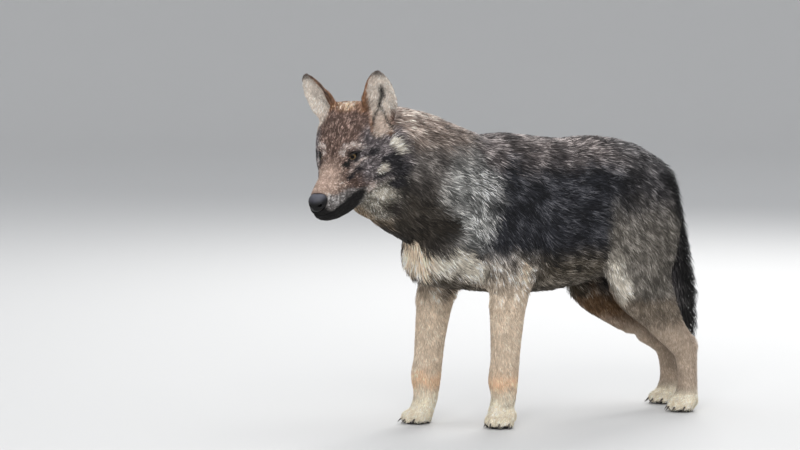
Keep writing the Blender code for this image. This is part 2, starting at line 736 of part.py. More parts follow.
def main():
    clear_scene()
    workshop = new_collection("cutters")
    wolf = new_collection("young_wolf")
    remaining = whole_form(workshop)
    made = {}

    for side, name in ((1, "left"), (-1, "right")):
        made[f"eye_{name}"] = solid(f"eye_{name}", lambda bm: add_eye(bm, side, 0.0), wolf)
    made["nose"] = solid("nose", lambda bm: add_nose(bm, 0.0), wolf)

    def all_claws(bm):
        for leg in LEGS:
            for centre, _, splay in leg.toe_places():
                add_claw(bm, centre, splay)

    def all_hollows(bm):
        for side in (1, -1):
            add_eye(bm, side, CUT_GAP)
        add_nose(bm, CUT_GAP)

    for build, operation in ((all_claws, "UNION"), (all_hollows, "DIFFERENCE")):
        tool = solid("tool", build, workshop)
        boolean(remaining, tool, operation)
        bpy.data.objects.remove(tool)

    for name, low, high, place in all_cells():
        box = cell_box("cell", low, high, place, 0.0, workshop)
        piece = new_object(name, remaining.data.copy(), wolf)
        boolean(piece, box, "INTERSECT")
        keep_largest(piece)
        made[name] = piece
        bpy.data.objects.remove(box)
        wider = cell_box("cell", low, high, place, CUT_GAP, workshop)
        boolean(remaining, wider, "DIFFERENCE")
        bpy.data.objects.remove(wider)
    rump = new_object("rump", remaining.data.copy(), wolf)
    keep_largest(rump)
    made["rump"] = rump
    bpy.data.objects.remove(remaining)

    corners = np.vstack([mesh_points(obj.data) for obj in made.values()])
    low, high = corners.min(axis=0), corners.max(axis=0)
    shift = Matrix.Translation((-(low[0] + high[0]) / 2, -(low[1] + high[1]) / 2, -low[2]))
    for name, obj in made.items():
        obj.data.transform(shift)
        kind = next((key for key in COLOURS if key in name), "coat")
        colour, roughness = COLOURS[kind]
        paint(obj, new_material(name, colour, roughness))


if __name__ == "__main__":
    main()
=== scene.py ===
"""Young wolf, standing: skin, coat, eyes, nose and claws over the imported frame."""

import math
from functools import lru_cache

import bmesh
import bpy
import numpy as np
from bpy.props import FloatProperty, FloatVectorProperty, PointerProperty
from mathutils import Matrix, Quaternion, Vector
from mathutils.bvhtree import BVHTree


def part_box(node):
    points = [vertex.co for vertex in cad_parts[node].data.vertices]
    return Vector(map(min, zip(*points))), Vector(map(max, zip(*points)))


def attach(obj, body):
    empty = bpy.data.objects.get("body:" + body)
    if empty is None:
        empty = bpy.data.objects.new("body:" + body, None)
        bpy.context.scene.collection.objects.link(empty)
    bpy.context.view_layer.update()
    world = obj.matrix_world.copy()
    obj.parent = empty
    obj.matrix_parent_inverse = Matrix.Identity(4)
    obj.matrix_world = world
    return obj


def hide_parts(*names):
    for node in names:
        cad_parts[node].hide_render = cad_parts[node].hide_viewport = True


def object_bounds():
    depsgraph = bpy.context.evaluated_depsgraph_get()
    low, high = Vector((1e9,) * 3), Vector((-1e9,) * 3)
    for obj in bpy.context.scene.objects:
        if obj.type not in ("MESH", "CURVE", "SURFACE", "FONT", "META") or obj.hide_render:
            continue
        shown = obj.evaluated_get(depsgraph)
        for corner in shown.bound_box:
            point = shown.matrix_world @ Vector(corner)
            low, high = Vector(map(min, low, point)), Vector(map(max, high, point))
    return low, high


bl_info = {
    "name": "Young Wolf",
    "version": (1, 0, 0),
    "blender": (4, 5, 0),
    "location": "3D View > Sidebar > Wolf",
    "description": "Builds a young wolf's skin, coat, eyes, nose and claws over its packed frame",
    "category": "Object",
}

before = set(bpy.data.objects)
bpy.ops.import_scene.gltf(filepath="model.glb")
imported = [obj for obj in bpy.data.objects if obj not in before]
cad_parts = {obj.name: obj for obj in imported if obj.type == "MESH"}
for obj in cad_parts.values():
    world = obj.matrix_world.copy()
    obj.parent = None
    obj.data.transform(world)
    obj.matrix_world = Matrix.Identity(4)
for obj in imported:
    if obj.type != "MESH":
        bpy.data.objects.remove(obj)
CAD_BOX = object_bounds()

# ---------------------------------------------------------------- sizes in the frame


def middle(node):
    """The middle of a node's box."""
    low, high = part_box(node)
    return (low + high) / 2


FLESH = sorted(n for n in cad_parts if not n.startswith("eye") and n != "nose")
# How far each node of flesh is grown so that the thin cuts between them close.
SEAM = 0.0006
# The body's middle plane, each tuft's patch on its map, and where along a tuft it is wide.
MIDLINE = middle("tail").x
PATCH = 0.003
LONG_STEPS = (0.30, 0.68)
SHORT_STEPS = (0.45,)

# In the head's own frame, forward, left and up: the left eye's middle, the middle of the nose's node,
# and the nose pad's middle and half sizes.
EYE_PLACE = Vector((-0.009, 0.0310, 0.001))
NOSE_MIDDLE = Vector((0.1169, 0.0, -0.0431))
NOSE_AT = Vector((0.120, 0.0, -0.0420))
NOSE_HALF = Vector((0.0150, 0.0195, 0.0165))
# The mouth line: its height below the eyes, how much it rises forward, and its corner.
MOUTH_LEVEL = -0.076
MOUTH_RISE = 0.052
MOUTH_BACK = 0.036
MOUTH_FRONT = 0.14
# The eye, and the lids' opening: half its length and height as angles on the eye, its slant and roundness.
EYE_RADIUS = 0.0125
LID_HALF = (1.18, 0.44)
LID_TILT = math.radians(20)
LID_ROUND = 1.55
EAR_WIDTH = 0.032
# The ears, in the head's frame: the way each one's hollow faces, its root and its tip.
EARS = {
    1: ((0.93, 0.35, -0.05), (-0.084, 0.064, 0.032), (-0.088, 0.086, 0.152)),
    -1: ((0.98, -0.17, -0.05), (-0.084, -0.042, 0.036), (-0.084, -0.094, 0.146)),
}

# Each part's coat depth, hair length and tufts per square centimetre, and the way its hair lies: across,
# back and up.
DEPTH, LENGTH, DENSITY, WAY = range(4)
LIE = {
    "head": (0.0032, 0.0085, 60, (0.0, 0.0, 0.0)),
    "jaw": (0.0018, 0.006, 60, (0.0, 0.0, 0.0)),
    "ear": (0.0010, 0.007, 52, (0.0, 0.0, 1.0)),
    "neck": (0.0135, 0.036, 15.5, (0.0, 0.80, -0.62)),
    "chest": (0.0130, 0.034, 15.0, (0.0, 0.84, -0.55)),
    "belly": (0.0120, 0.032, 15.0, (0.0, 0.95, -0.32)),
    "rump": (0.0120, 0.030, 15.5, (0.0, 0.80, -0.60)),
    "tail": (0.0150, 0.042, 15.0, (0.0, 0.12, -1.0)),
    "shoulder": (0.0095, 0.026, 18.0, (0.0, 0.50, -0.86)),
    "forearm": (0.0034, 0.012, 30, (0.0, 0.18, -0.98)),
    "thigh": (0.0090, 0.024, 18.0, (0.0, 0.50, -0.86)),
    "shank": (0.0048, 0.014, 27, (0.0, 0.35, -0.94)),
    "hock": (0.0032, 0.010, 30, (0.0, 0.10, -1.0)),
    "paw": (0.0020, 0.007, 40, (0.0, -0.62, -0.78)),
}
PARTS = list(LIE)

# Spots of colour on both sides of the body: centre and radii across from its middle plane, back and up,
# then strength and colour.
BODY_SPOTS = (
    ((0.085, -0.130, 0.520), (0.070, 0.095, 0.110), 1.2, "shoulder"),
    ((0.075, -0.125, 0.440), (0.060, 0.075, 0.070), 1.2, "shoulder"),
    ((0.085, -0.022, 0.500), (0.060, 0.030, 0.130), 1.5, "flank"),
    ((0.050, -0.245, 0.430), (0.090, 0.075, 0.042), 2.2, "collar"),
    ((0.000, -0.265, 0.430), (0.070, 0.060, 0.045), 2.2, "collar"),
    ((0.070, -0.185, 0.440), (0.050, 0.055, 0.038), 1.6, "collar"),
    ((0.070, -0.160, 0.368), (0.050, 0.062, 0.032), 2.4, "pale"),
    ((0.075, -0.110, 0.340), (0.050, 0.050, 0.032), 2.0, "pale"),
    ((0.012, -0.220, 0.368), (0.050, 0.040, 0.038), 2.4, "white"),
    ((0.100, 0.010, 0.332), (0.045, 0.018, 0.026), 1.8, "white"),
    ((0.095, 0.242, 0.332), (0.050, 0.028, 0.050), 1.1, "pale"),
    ((0.095, 0.262, 0.280), (0.050, 0.026, 0.058), 1.1, "pale"),
    ((0.020, 0.425, 0.570), (0.095, 0.070, 0.080), 2.0, "tail"),
    ((0.020, 0.435, 0.490), (0.110, 0.085, 0.120), 2.2, "tail"),
)
# Spots of colour on both sides of the face, in the same order, forward, out and up.
FACE_SPOTS = (
    ((-0.084, 0.000, 0.078), (0.030, 0.045, 0.026), 1.3, "ear_back"),
    ((-0.084, 0.038, 0.070), (0.022, 0.020, 0.020), 1.6, "ear_back"),
    ((-0.086, 0.000, 0.082), (0.030, 0.036, 0.022), 0.8, "wrist"),
    ((-0.045, 0.062, 0.020), (0.048, 0.032, 0.030), 1.3, "cheek"),
    ((-0.034, 0.064, -0.008), (0.026, 0.032, 0.010), 1.4, "stripe"),
    ((-0.062, 0.088, -0.036), (0.034, 0.044, 0.017), 2.0, "stripe"),
    ((-0.070, 0.100, -0.058), (0.030, 0.036, 0.022), 2.2, "stripe"),
    ((-0.036, 0.066, -0.058), (0.028, 0.034, 0.008), 1.5, "stripe"),
    ((-0.057, 0.094, -0.084), (0.026, 0.036, 0.016), 2.0, "stripe"),
    ((0.027, 0.037, -0.031), (0.018, 0.016, 0.009), 1.4, "stripe"),
    ((0.009, 0.045, -0.027), (0.019, 0.016, 0.008), 1.3, "stripe"),
    ((0.011, 0.021, 0.013), (0.010, 0.008, 0.008), 1.8, "brow"),
    ((0.001, 0.027, 0.022), (0.011, 0.009, 0.0052), 1.8, "brow"),
    ((-0.008, 0.036, 0.023), (0.011, 0.010, 0.0050), 1.8, "brow"),
    ((-0.016, 0.046, 0.018), (0.010, 0.010, 0.0050), 1.6, "brow"),
    ((-0.022, 0.053, 0.010), (0.008, 0.010, 0.0044), 1.4, "brow"),
    ((-0.010, 0.053, -0.012), (0.014, 0.014, 0.0044), 1.8, "brow"),
    ((0.006, 0.046, -0.016), (0.012, 0.012, 0.0044), 1.5, "brow"),
    ((0.022, 0.036, -0.019), (0.012, 0.012, 0.0045), 1.0, "brow"),
    ((-0.043, 0.073, -0.047), (0.015, 0.026, 0.011), 1.1, "pale"),
    ((-0.019, 0.052, -0.076), (0.020, 0.024, 0.014), 1.2, "brow"),
    ((-0.036, 0.066, -0.100), (0.028, 0.032, 0.018), 1.0, "pale"),
    ((-0.084, 0.088, -0.012), (0.017, 0.030, 0.012), 1.6, "pale"),
    ((-0.086, 0.102, -0.026), (0.016, 0.026, 0.014), 1.6, "pale"),
    ((-0.087, 0.082, 0.010), (0.014, 0.018, 0.008), 1.6, "ear_back"),
    ((-0.050, 0.000, -0.160), (0.050, 0.040, 0.050), 1.6, "throat"),
    ((-0.0085, 0.0460, 0.0060), (0.0125, 0.0100, 0.0052), 2.2, "lips"),
    ((0.0185, 0.0310, -0.0030), (0.0125, 0.0085, 0.0072), 2.6, "lips"),
    ((0.0265, 0.0285, -0.0055), (0.0115, 0.0080, 0.0056), 2.2, "lips"),
)


def part_of(node):
    """The kind of part that a node belongs to, as a place in PARTS."""
    return next(i for i, part in enumerate(PARTS) if part in node.split("_"))


def share_of(parts, *names):
    """How much each point belongs to these kinds of part."""
    return parts[:, [PARTS.index(name) for name in names]].sum(axis=1)


def by_part(parts, column):
    """One column of LIE for each point, mixed as the point shares in the parts."""
    return parts @ np.array([LIE[part][column] for part in PARTS])


def head_place():
    """The head's own place: its origin between the eyes, with forward, left and up as columns."""
    left_eye, right_eye = middle("eye_left"), middle("eye_right")
    left = (left_eye - right_eye).normalized()
    between = (left_eye + right_eye) / 2
    reach = middle("nose") - between
    reach -= left * reach.dot(left)
    fall = math.atan2(EYE_PLACE.z - NOSE_MIDDLE.z, NOSE_MIDDLE.x - EYE_PLACE.x)
    forward = (Quaternion(left, -fall) @ reach).normalized()
    up = forward.cross(left)
    place = Matrix((forward, left, up)).transposed().to_4x4()
    place.translation = between - forward * EYE_PLACE.x - up * EYE_PLACE.z
    return place


HEAD = head_place()
HEAD_AXES = np.array(HEAD)[:3, :3]
HEAD_BACK = np.array(HEAD.inverted())


def in_head(points):
    """The points in the head's own frame."""
    return points @ HEAD_BACK[:3, :3].T + HEAD_BACK[:3, 3]


def from_head(points):
    """Points of the head's own frame, in the row frame."""
    return points @ HEAD_AXES.T + np.array(HEAD.translation)


def eye_at(side):
    """One eye's middle in the head's own frame: side is 1 for the left one and -1 for the right."""
    return np.array((EYE_PLACE.x, side * EYE_PLACE.y, EYE_PLACE.z))


# ---------------------------------------------------------------- arrays and noise


def unit(vectors):
    """The vectors, each of length one."""
    return vectors / np.maximum(np.linalg.norm(vectors, axis=1, keepdims=True), 1e-9)


def ramp(low, high, values):
    """0 below low and 1 above high, with a smooth rise between."""
    share = np.clip((values - low) / (high - low), 0.0, 1.0)
    return share * share * (3 - 2 * share)


def blot(points, centre, radii):
    """1 at the centre, fading smoothly to 0 at the radii."""
    away = (((points - np.array(centre)) / np.array(radii)) ** 2).sum(axis=1)
    return np.clip(1.0 - away, 0.0, 1.0) ** 1.5


# A cell's key is its three counts times these primes, and noise comes from a table of this many values.
CELL_KEY = np.array((73856093, 19349663, 83492791))
NOISE_VALUES = 65536


def cloud(points, size, seed):
    """Smooth noise from -1 to 1 with lumps of this size."""
    table = np.random.default_rng(seed).uniform(-1, 1, NOISE_VALUES)
    place = points / size + 100.0
    cell = np.floor(place).astype(np.int64)
    part = place - cell
    part = part * part * (3 - 2 * part)
    total = np.zeros(len(points))
    for corner in range(8):
        step = np.array((corner & 1, corner >> 1 & 1, corner >> 2 & 1))
        key = (cell + step) @ CELL_KEY
        weight = np.abs(1 - step - part).prod(axis=1)
        total += table[key % NOISE_VALUES] * weight
    return total


def mixed(first, second, share):
    """The first colour going over to the second by share."""
    return first + (np.array(second) - first) * np.asarray(share)[:, None]


def mesh_arrays(mesh):
    """A mesh's points and triangles as arrays."""
    points = np.empty(len(mesh.vertices) * 3, np.float32)
    mesh.vertices.foreach_get("co", points)
    mesh.calc_loop_triangles()
    triangles = np.empty(len(mesh.loop_triangles) * 3, np.int32)
    mesh.loop_triangles.foreach_get("vertices", triangles)
    return points.reshape(-1, 3).astype(float), triangles.reshape(-1, 3)


def mesh_from(name, points, faces):
    """A smooth mesh from points and lists of equal-length faces."""
    mesh = bpy.data.meshes.new(name)
    mesh.vertices.add(len(points))
    mesh.vertices.foreach_set("co", points.astype(np.float32).ravel())
    corners = np.concatenate([part.ravel() for part in faces])
    counts = np.concatenate([np.full(len(part), part.shape[1]) for part in faces])
    mesh.loops.add(len(corners))
    mesh.loops.foreach_set("vertex_index", corners.astype(np.int32))
    mesh.polygons.add(len(counts))
    mesh.polygons.foreach_set("loop_start", (np.cumsum(counts) - counts).astype(np.int32))
    mesh.update(calc_edges=True)
    mesh.validate()
    mesh.polygons.foreach_set("use_smooth", np.ones(len(mesh.polygons), bool))
    return mesh


def store(mesh, name, values):
    """Keeps one number or colour per point on the mesh."""
    if values.ndim == 1:
        layer = mesh.attributes.new(name, "FLOAT", "POINT")
        layer.data.foreach_set("value", values.astype(np.float32))
        return
    layer = mesh.attributes.new(name, "FLOAT_COLOR", "POINT")
    full = np.column_stack((values, np.ones(len(values))))
    layer.data.foreach_set("color", full.astype(np.float32).ravel())


def triangle_normals(points, triangles):
    """Each triangle's normal, as long as twice its area."""
    a, b, c = (points[triangles[:, i]] for i in range(3))
    return np.cross(b - a, c - a)


class Surface:
    """A closed triangle surface as arrays, with each point's neighbours."""

    def __init__(self, points, triangles):
        self.points = points
        self.triangles = triangles
        count = len(points)
        pairs = np.concatenate([triangles[:, [i, j]] for i, j in ((0, 1), (1, 2), (2, 0))])
        pairs = np.concatenate((pairs, pairs[:, ::-1])).astype(np.int64)
        codes = np.unique(pairs[:, 0] * count + pairs[:, 1])
        self.others = codes % count
        owners = codes // count
        self.starts = np.searchsorted(owners, np.arange(count))
        self.counts = np.bincount(owners, minlength=count)

    def smooth(self, field, rounds, share=1.0):
        """The field with each point moved towards its neighbours' mean, several times."""
        counts = self.counts if field.ndim == 1 else self.counts[:, None]
        for _ in range(rounds):
            mean = np.add.reduceat(field[self.others], self.starts, axis=0) / counts
            field = field + share * (mean - field)
        return field

    def normals(self):
        """Each point's normal."""
        across = triangle_normals(self.points, self.triangles)
        total = np.zeros_like(self.points)
        for corner in range(3):
            for axis in range(3):
                total[:, axis] += np.bincount(self.triangles[:, corner], across[:, axis], len(self.points))
        return unit(total)


# ---------------------------------------------------------------- the form under the coat


def welded(points, triangles):
    """The surface with its doubled points joined."""
    _, first, back = np.unique(np.round(points, 5), axis=0, return_index=True, return_inverse=True)
    triangles = back.ravel()[triangles]
    whole = (triangles[:, 0] != triangles[:, 1]) & (triangles[:, 1] != triangles[:, 2])
    whole &= triangles[:, 2] != triangles[:, 0]
    return points[first], triangles[whole]


def flesh_nodes():
    """All the nodes of flesh as one list of points and triangles, and each triangle's kind of part."""
    points, triangles, kinds, count = [], [], [], 0
    for node in FLESH:
        own, faces = welded(*mesh_arrays(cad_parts[node].data))
        surface = Surface(own, faces)
        points.append(own + surface.normals() * SEAM)
        triangles.append(faces + count)
        kinds.append(np.full(len(faces), part_of(node)))
        count += len(own)
    return np.concatenate(points), np.concatenate(triangles), np.concatenate(kinds)


def refine(mesh, near, rounds):
    """Divides the mesh's edges finer where near says so."""
    bm = bmesh.new()
    bm.from_mesh(mesh)
    for reach in rounds:
        points = np.array([v.co for v in bm.verts])
        close = near(points, reach)
        edges = [e for e in bm.edges if close[e.verts[0].index] and close[e.verts[1].index]]
        bmesh.ops.subdivide_edges(bm, edges=edges, cuts=1, use_grid_fill=True)
        bm.verts.index_update()
    bmesh.ops.triangulate(bm, faces=[f for f in bm.faces if len(f.verts) > 4])
    bm.to_mesh(mesh)
    bm.free()


def near_features(points, reach):
    """Whether each point is near an eye or the mouth line."""
    own = in_head(points)
    mouth = (own[:, 0] > 0.030) & (own[:, 0] < 0.150)
    mouth &= np.abs(own[:, 2] - mouth_level(own)) < 0.012 * reach
    return mouth | (eye_distance(own) < 0.024 * reach)


def mouth_level(own):
    """The mouth line's height at these points of the head."""
    return MOUTH_LEVEL + MOUTH_RISE * own[:, 0]


def remeshed():
    """The flesh as one closed surface with the thin cuts closed."""
    points, triangles, kinds = flesh_nodes()
    mesh = mesh_from("flesh", points, [triangles])
    obj = bpy.data.objects.new("flesh", mesh)
    bpy.context.scene.collection.objects.link(obj)
    remesh = obj.modifiers.new("one skin", "REMESH")
    remesh.mode = "VOXEL"
    remesh.voxel_size = bpy.context.scene.wolf_sizes.skin_mesh
    graph = bpy.context.evaluated_depsgraph_get()
    graph.update()
    whole = bpy.data.meshes.new_from_object(obj.evaluated_get(graph))
    bpy.data.objects.remove(obj)
    refine(whole, near_features, (1.25, 1.0))
    arrays = mesh_arrays(whole)
    bpy.data.meshes.remove(whole)
    tree = BVHTree.FromPolygons(points.tolist(), triangles.tolist())
    return arrays, tree, kinds


def thickness(surface, normals, most=0.30, under=0.0008):
    """How thick the body is under each point, up to most, measured from just under the surface."""
    tree = BVHTree.FromPolygons(surface.points.tolist(), surface.triangles.tolist())
    found = np.full(len(surface.points), most)
    starts = surface.points - normals * under
    for i, (start, inward) in enumerate(zip(starts.tolist(), (-normals).tolist())):
        reach = tree.ray_cast(start, inward, most)[3]
        if reach is not None:
            found[i] = reach + under
    return found


def eye_distance(own):
    """How far each point of the head is from the nearer eye's middle."""
    return np.minimum(*(np.linalg.norm(own - eye_at(side), axis=1) for side in (1, -1)))


def eye_frame(side):
    """One eye's opening between its lids: the way it faces, the way to its outer corner, and up across it."""
    facing = Vector((0.80, side * 0.60, 0.05)).normalized()
    level = Vector((-0.60, side * 0.80, 0.0))
    outer = level * math.cos(LID_TILT) + Vector((0, 0, 1)) * math.sin(LID_TILT)
    outer = (outer - facing * outer.dot(facing)).normalized()
    up = facing.cross(outer) * side
    return np.array(facing), np.array(outer), np.array(up)


def opening_reach(turn):
    """How far the lids' opening reaches from its middle in the direction turn, as an angle on the eye."""
    over, up = np.cos(turn), np.sin(turn)
    high = np.where(up > 0, LID_HALF[1] * 0.90, LID_HALF[1])
    return (np.abs(over / LID_HALF[0]) ** LID_ROUND + np.abs(up / high) ** LID_ROUND) ** (-1 / LID_ROUND)


def lid_gap(own, side):
    """How far past the opening's edge each point lies, as an angle on the eye."""
    facing, outer, up = eye_frame(side)
    way = unit(own - eye_at(side))
    turn = np.arctan2(way @ up, way @ outer)
    return np.arccos(np.clip(way @ facing, -1, 1)) - opening_reach(turn)


def least_lid_gap(own):
    """The lid gap at the nearer eye, and more than any where there is no eye near."""
    gap = np.where(own[:, 1] > 0, lid_gap(own, 1), lid_gap(own, -1))
    return np.where(eye_distance(own) < 0.030, gap, 3.0)


def push(points, centre, radii, move):
    """Moves the points near centre by move, fading smoothly to nothing at the radii."""
    points += blot(points, centre, radii)[:, None] * np.array(move)


def sculpt_head(points):
    """Presses the line of the lips and the hollows before the eyes in, and draws the lids over the eyes."""
    own = in_head(points)
    off = own[:, 2] - mouth_level(own)
    along = ramp(MOUTH_BACK - 0.006, MOUTH_BACK + 0.006, own[:, 0])
    along *= 1 - ramp(0.131, 0.140, own[:, 0])
    groove = np.exp(-((off / 0.0013) ** 2)) * along
    lip = np.exp(-(((off - 0.0042) / 0.0032) ** 2)) * along
    inward = -unit(own - np.array((0.085, 0.0, MOUTH_LEVEL + 0.004)))
    own += inward * (0.0026 * groove - 0.0007 * lip)[:, None]
    for side in (1, -1):
        eye = eye_at(side)
        push(own, eye + (0.020, -side * 0.010, -0.006), (0.014, 0.010, 0.010), (-0.0018, 0, 0))
        push(own, eye + (0.002, side * 0.006, 0.016), (0.020, 0.016, 0.008), (0.0015, side * 0.001, 0))
        gap = lid_gap(own, side)
        away = np.linalg.norm(own - eye, axis=1)
        near = ramp(0.020, 0.016, away) * (away > EYE_RADIUS - 0.001)
        cover = near * ramp(0.62, 0.20, gap)
        goal = np.where(gap > 0.04, EYE_RADIUS + 0.0010, EYE_RADIUS - 0.0020)
        own += (own - eye) / away[:, None] * (cover * (goal - away))[:, None]
    return from_head(own)


@lru_cache(maxsize=1)
def form():
    """The skin's surface with its parts' shares, coat depth and lie at each point."""
    (points, triangles), tree, kinds = remeshed()
    surface = Surface(points, triangles)
    nearest = np.array([tree.find_nearest(p)[2] for p in points.tolist()])
    sharp = np.zeros((len(points), len(PARTS)))
    sharp[np.arange(len(points)), kinds[nearest]] = 1.0
    parts = surface.smooth(sharp, 14)
    fine = share_of(parts, "head", "jaw", "paw")
    share = (1.0 - 0.80 * fine - 0.95 * share_of(parts, "ear"))[:, None].clip(0.03, 1.0)
    surface.points = surface.smooth(surface.points, 24, 0.6 * share)
    surface.points = sculpt_head(surface.points)
    normals = surface.smooth(surface.normals(), 3)
    own = in_head(surface.points)
    depth = by_part(parts, DEPTH) + head_extra_depth(own, parts)
    soft = surface.smooth(depth, 40)
    depth = soft + (np.minimum(depth, soft) - soft) * fine
    depth = np.minimum(depth, 0.30 * thickness(surface, unit(normals)))
    depth = surface.smooth(depth, 6)
    depth *= ramp(0.0145, 0.021, eye_distance(own))
    depth *= 1 - share_of(parts, "paw") * ramp(0.010, 0.004, surface.points[:, 2])
    surface.points = surface.points - unit(normals) * depth[:, None]
    surface.points = surface.smooth(surface.points, 4, 0.5 * share)
    surface.points = widen_ears(surface.points, share_of(parts, "ear"))
    surface.parts = parts
    surface.depth = depth
    surface.across = surface.normals()
    surface.comb = lie_of(surface)
    return surface


def widen_ears(points, share):
    """The ears spread across their width, most at the tip, by what the coat's depth took off them."""
    own = in_head(points)
    for side, (facing, root, tip) in EARS.items():
        axis = np.array(tip) - np.array(root)
        out = unit(np.cross(facing, axis)[None])[0]
        off = own - np.array(root)
        up = off @ axis / (axis @ axis)
        spread = (0.05 + 0.22 * ramp(0.55, 1.0, up)) * share * (own[:, 1] * side > 0)
        own += (off @ out * spread)[:, None] * out
        longer = 0.0012 * ramp(0.80, 1.0, up) * share * (own[:, 1] * side > 0)
        own += longer[:, None] * unit(axis[None])[0]
    return from_head(own)


def head_extra_depth(own, parts):
    """How much deeper the coat is on the ruff of the cheeks, and thinner on the muzzle."""
    ruff = ramp(-0.045, -0.110, own[:, 0]) * ramp(0.035, -0.02, own[:, 2])
    return share_of(parts, "head") * (0.0065 * ruff - 0.0015 * ramp(0.030, 0.070, own[:, 0]))


def lie_of(surface):
    """The way the hair lies at each point, along the skin."""
    ways = by_part(surface.parts, WAY)
    own = in_head(surface.points)
    backward, outward, downward = (HEAD_AXES @ way for way in np.diag((-1.0, 1.0, -1.0)))
    head = share_of(surface.parts, "head", "jaw")
    low = ramp(0.010, -0.060, own[:, 2]) * ramp(0.050, -0.030, own[:, 0])
    ways += head[:, None] * (backward + 0.75 * low[:, None] * downward)
    ears = share_of(surface.parts, "ear")
    ways += (ears * np.sign(own[:, 1]) * 0.10)[:, None] * outward
    for _ in range(3):
        ways = surface.smooth(laid(ways, surface.across), 5)
    return laid(ways, surface.across)


def laid(ways, across):
    """The ways laid flat along the skin."""
    return unit(ways - across * (ways * across).sum(axis=1)[:, None])


# ---------------------------------------------------------------- markings


def marks(points, spots):
    """For each named spot of colour, how strongly each point takes it."""
    for centre, radii, strength, name in spots:
        yield np.clip(blot(points, centre, radii) * strength, 0, 1), name


def palette():
    """All the colours of the panel as arrays, by name."""
    colours = bpy.context.scene.wolf_colours
    return {name: np.array(getattr(colours, name)) for name in settings_of(colours)}


def painted(tone, colour, layers):
    """The tone with each named colour laid over it in turn, by its share at each point."""
    for name, share in layers:
        tone = mixed(tone, colour[name], share)
    return tone


def markings(points, parts, across):
    """Each place's mean colour and how much its hairs differ from it."""
    ragged = np.column_stack([cloud(points, 0.022, seed) for seed in (81, 82, 83)]) * 0.014
    own = in_head(points + 0.25 * ragged + 0.20 * cloud(points, 0.006, 84)[:, None] * ragged)
    moved = points + ragged
    folded = np.column_stack((np.abs(moved[:, 0] - MIDLINE), moved[:, 1:]))
    y, z = folded[:, 1], folded[:, 2]
    share = {part: parts[:, i] for i, part in enumerate(PARTS)}
    colour = palette()
    tone = np.tile(colour["flank"], (len(points), 1))
    spread = 1.0 + 0.10 * ramp(0.42, 0.52, z)

    # Trunk: dark flanks, paler back, loin and neck, brown belly.
    neck = np.clip(share["neck"] + share["chest"] * ramp(-0.10, -0.17, y), 0, 1)
    throat = np.clip(blot(own, (-0.055, 0.0, -0.165), (0.065, 0.060, 0.062)) * 1.8, 0, 1)
    tone = painted(tone, colour, (
        ("back", ramp(0.52, 0.60, z) * ramp(-0.25, 0.30, y + 0.6 * z - 0.2)),
        ("belly", ramp(0.40, 0.31, z) * ramp(-0.03, 0.05, y)),
        ("croup", ramp(0.20, 0.32, y) * ramp(0.48, 0.56, z)),
        ("rump", ramp(0.20, 0.32, y) * ramp(0.56, 0.48, z)),
        ("neck", neck),
        ("nape", neck * ramp(0.58, 0.65, z)),
        ("collar", neck * ramp(0.57, 0.48, z + 0.3 * (y + 0.24)) * ramp(-0.14, -0.22, y)),
        ("throat", neck * throat),
    ))
    # Painted light: the trunk's downward-facing underside is lightened, as by light bounced up from the
    # floor.
    under = ramp(0.42, 0.34, z) * ramp(-0.15, -0.75, across[:, 2]) * ramp(0.30, 0.20, y)
    tone = mixed(tone, 0.65 * colour["belly"] + 0.35 * colour["thigh"], under)

    # Legs, from the thigh down and from the elbow down, with a tan band at the wrists and pale feet.
    thigh = share["thigh"] * ramp(0.50, 0.40, z)
    medial = -across[:, 0] * np.sign(points[:, 0] - MIDLINE)
    inner = np.clip(share["thigh"] + share["shank"], 0, 1) * ramp(0.0, 0.45, medial) * ramp(0.42, 0.32, z)
    shin = np.clip(share["hock"] + share["shank"] * ramp(0.22, 0.16, z), 0, 1)
    layers = (("thigh", thigh), ("gaskin", share["shank"]), ("groin", inner), ("hock", shin))
    tone = painted(tone, colour, layers)
    upper = share["shoulder"] * ramp(0.03, 0.045, folded[:, 0]) * ramp(0.062, 0.036, y)
    tone = mixed(tone, (colour["forearm"] + colour["shoulder"]) / 2, upper * ramp(0.40, 0.33, z) * 0.8)
    fore = np.clip(share["forearm"] + upper * ramp(0.35, 0.27, z), 0, 1)
    wrist = share["forearm"] * np.exp(-(((z - 0.096) / 0.016) ** 2)) * 0.9
    foot = np.clip(share["paw"] * ramp(0.075, 0.045, z) + share["forearm"] * ramp(0.088, 0.040, z), 0, 1)
    tone = painted(tone, colour, (("forearm", fore), ("wrist", wrist), ("foot", foot)))
    leg = np.clip(fore + foot + shin, 0, 1)
    spread = spread * (1 - 0.70 * leg) * (1 - 0.36 * neck)
    spread = spread * (1 - 0.35 * np.clip(thigh + share["shank"], 0, 1))

    for patch, name in marks(folded, BODY_SPOTS):
        tone = mixed(tone, colour[name], patch)
        spread = spread * (1 - 0.45 * patch * (name in ("white", "pale")))

    # Tail: black down the rear and at the tip.
    tail = share["tail"]
    black_tail = tail * np.clip(ramp(-0.5, 0.3, across[:, 1]) + ramp(0.30, 0.20, z), 0, 1)
    tone = painted(tone, colour, (("rump", tail), ("tail", black_tail)))

    # Head and ears.
    head = np.clip(share["head"] + share["jaw"], 0, 1)
    face, face_spread = face_markings(own)
    tone = tone + (face - tone) * head[:, None]
    spread = spread + (face_spread - spread) * head
    ears = np.clip(share["ear"] + head * ear_places(own, across)[4], 0, 1)
    tone = tone + (ear_markings(own, across) - tone) * ears[:, None]
    spread = spread + (0.45 - spread) * ears
    return tone, spread


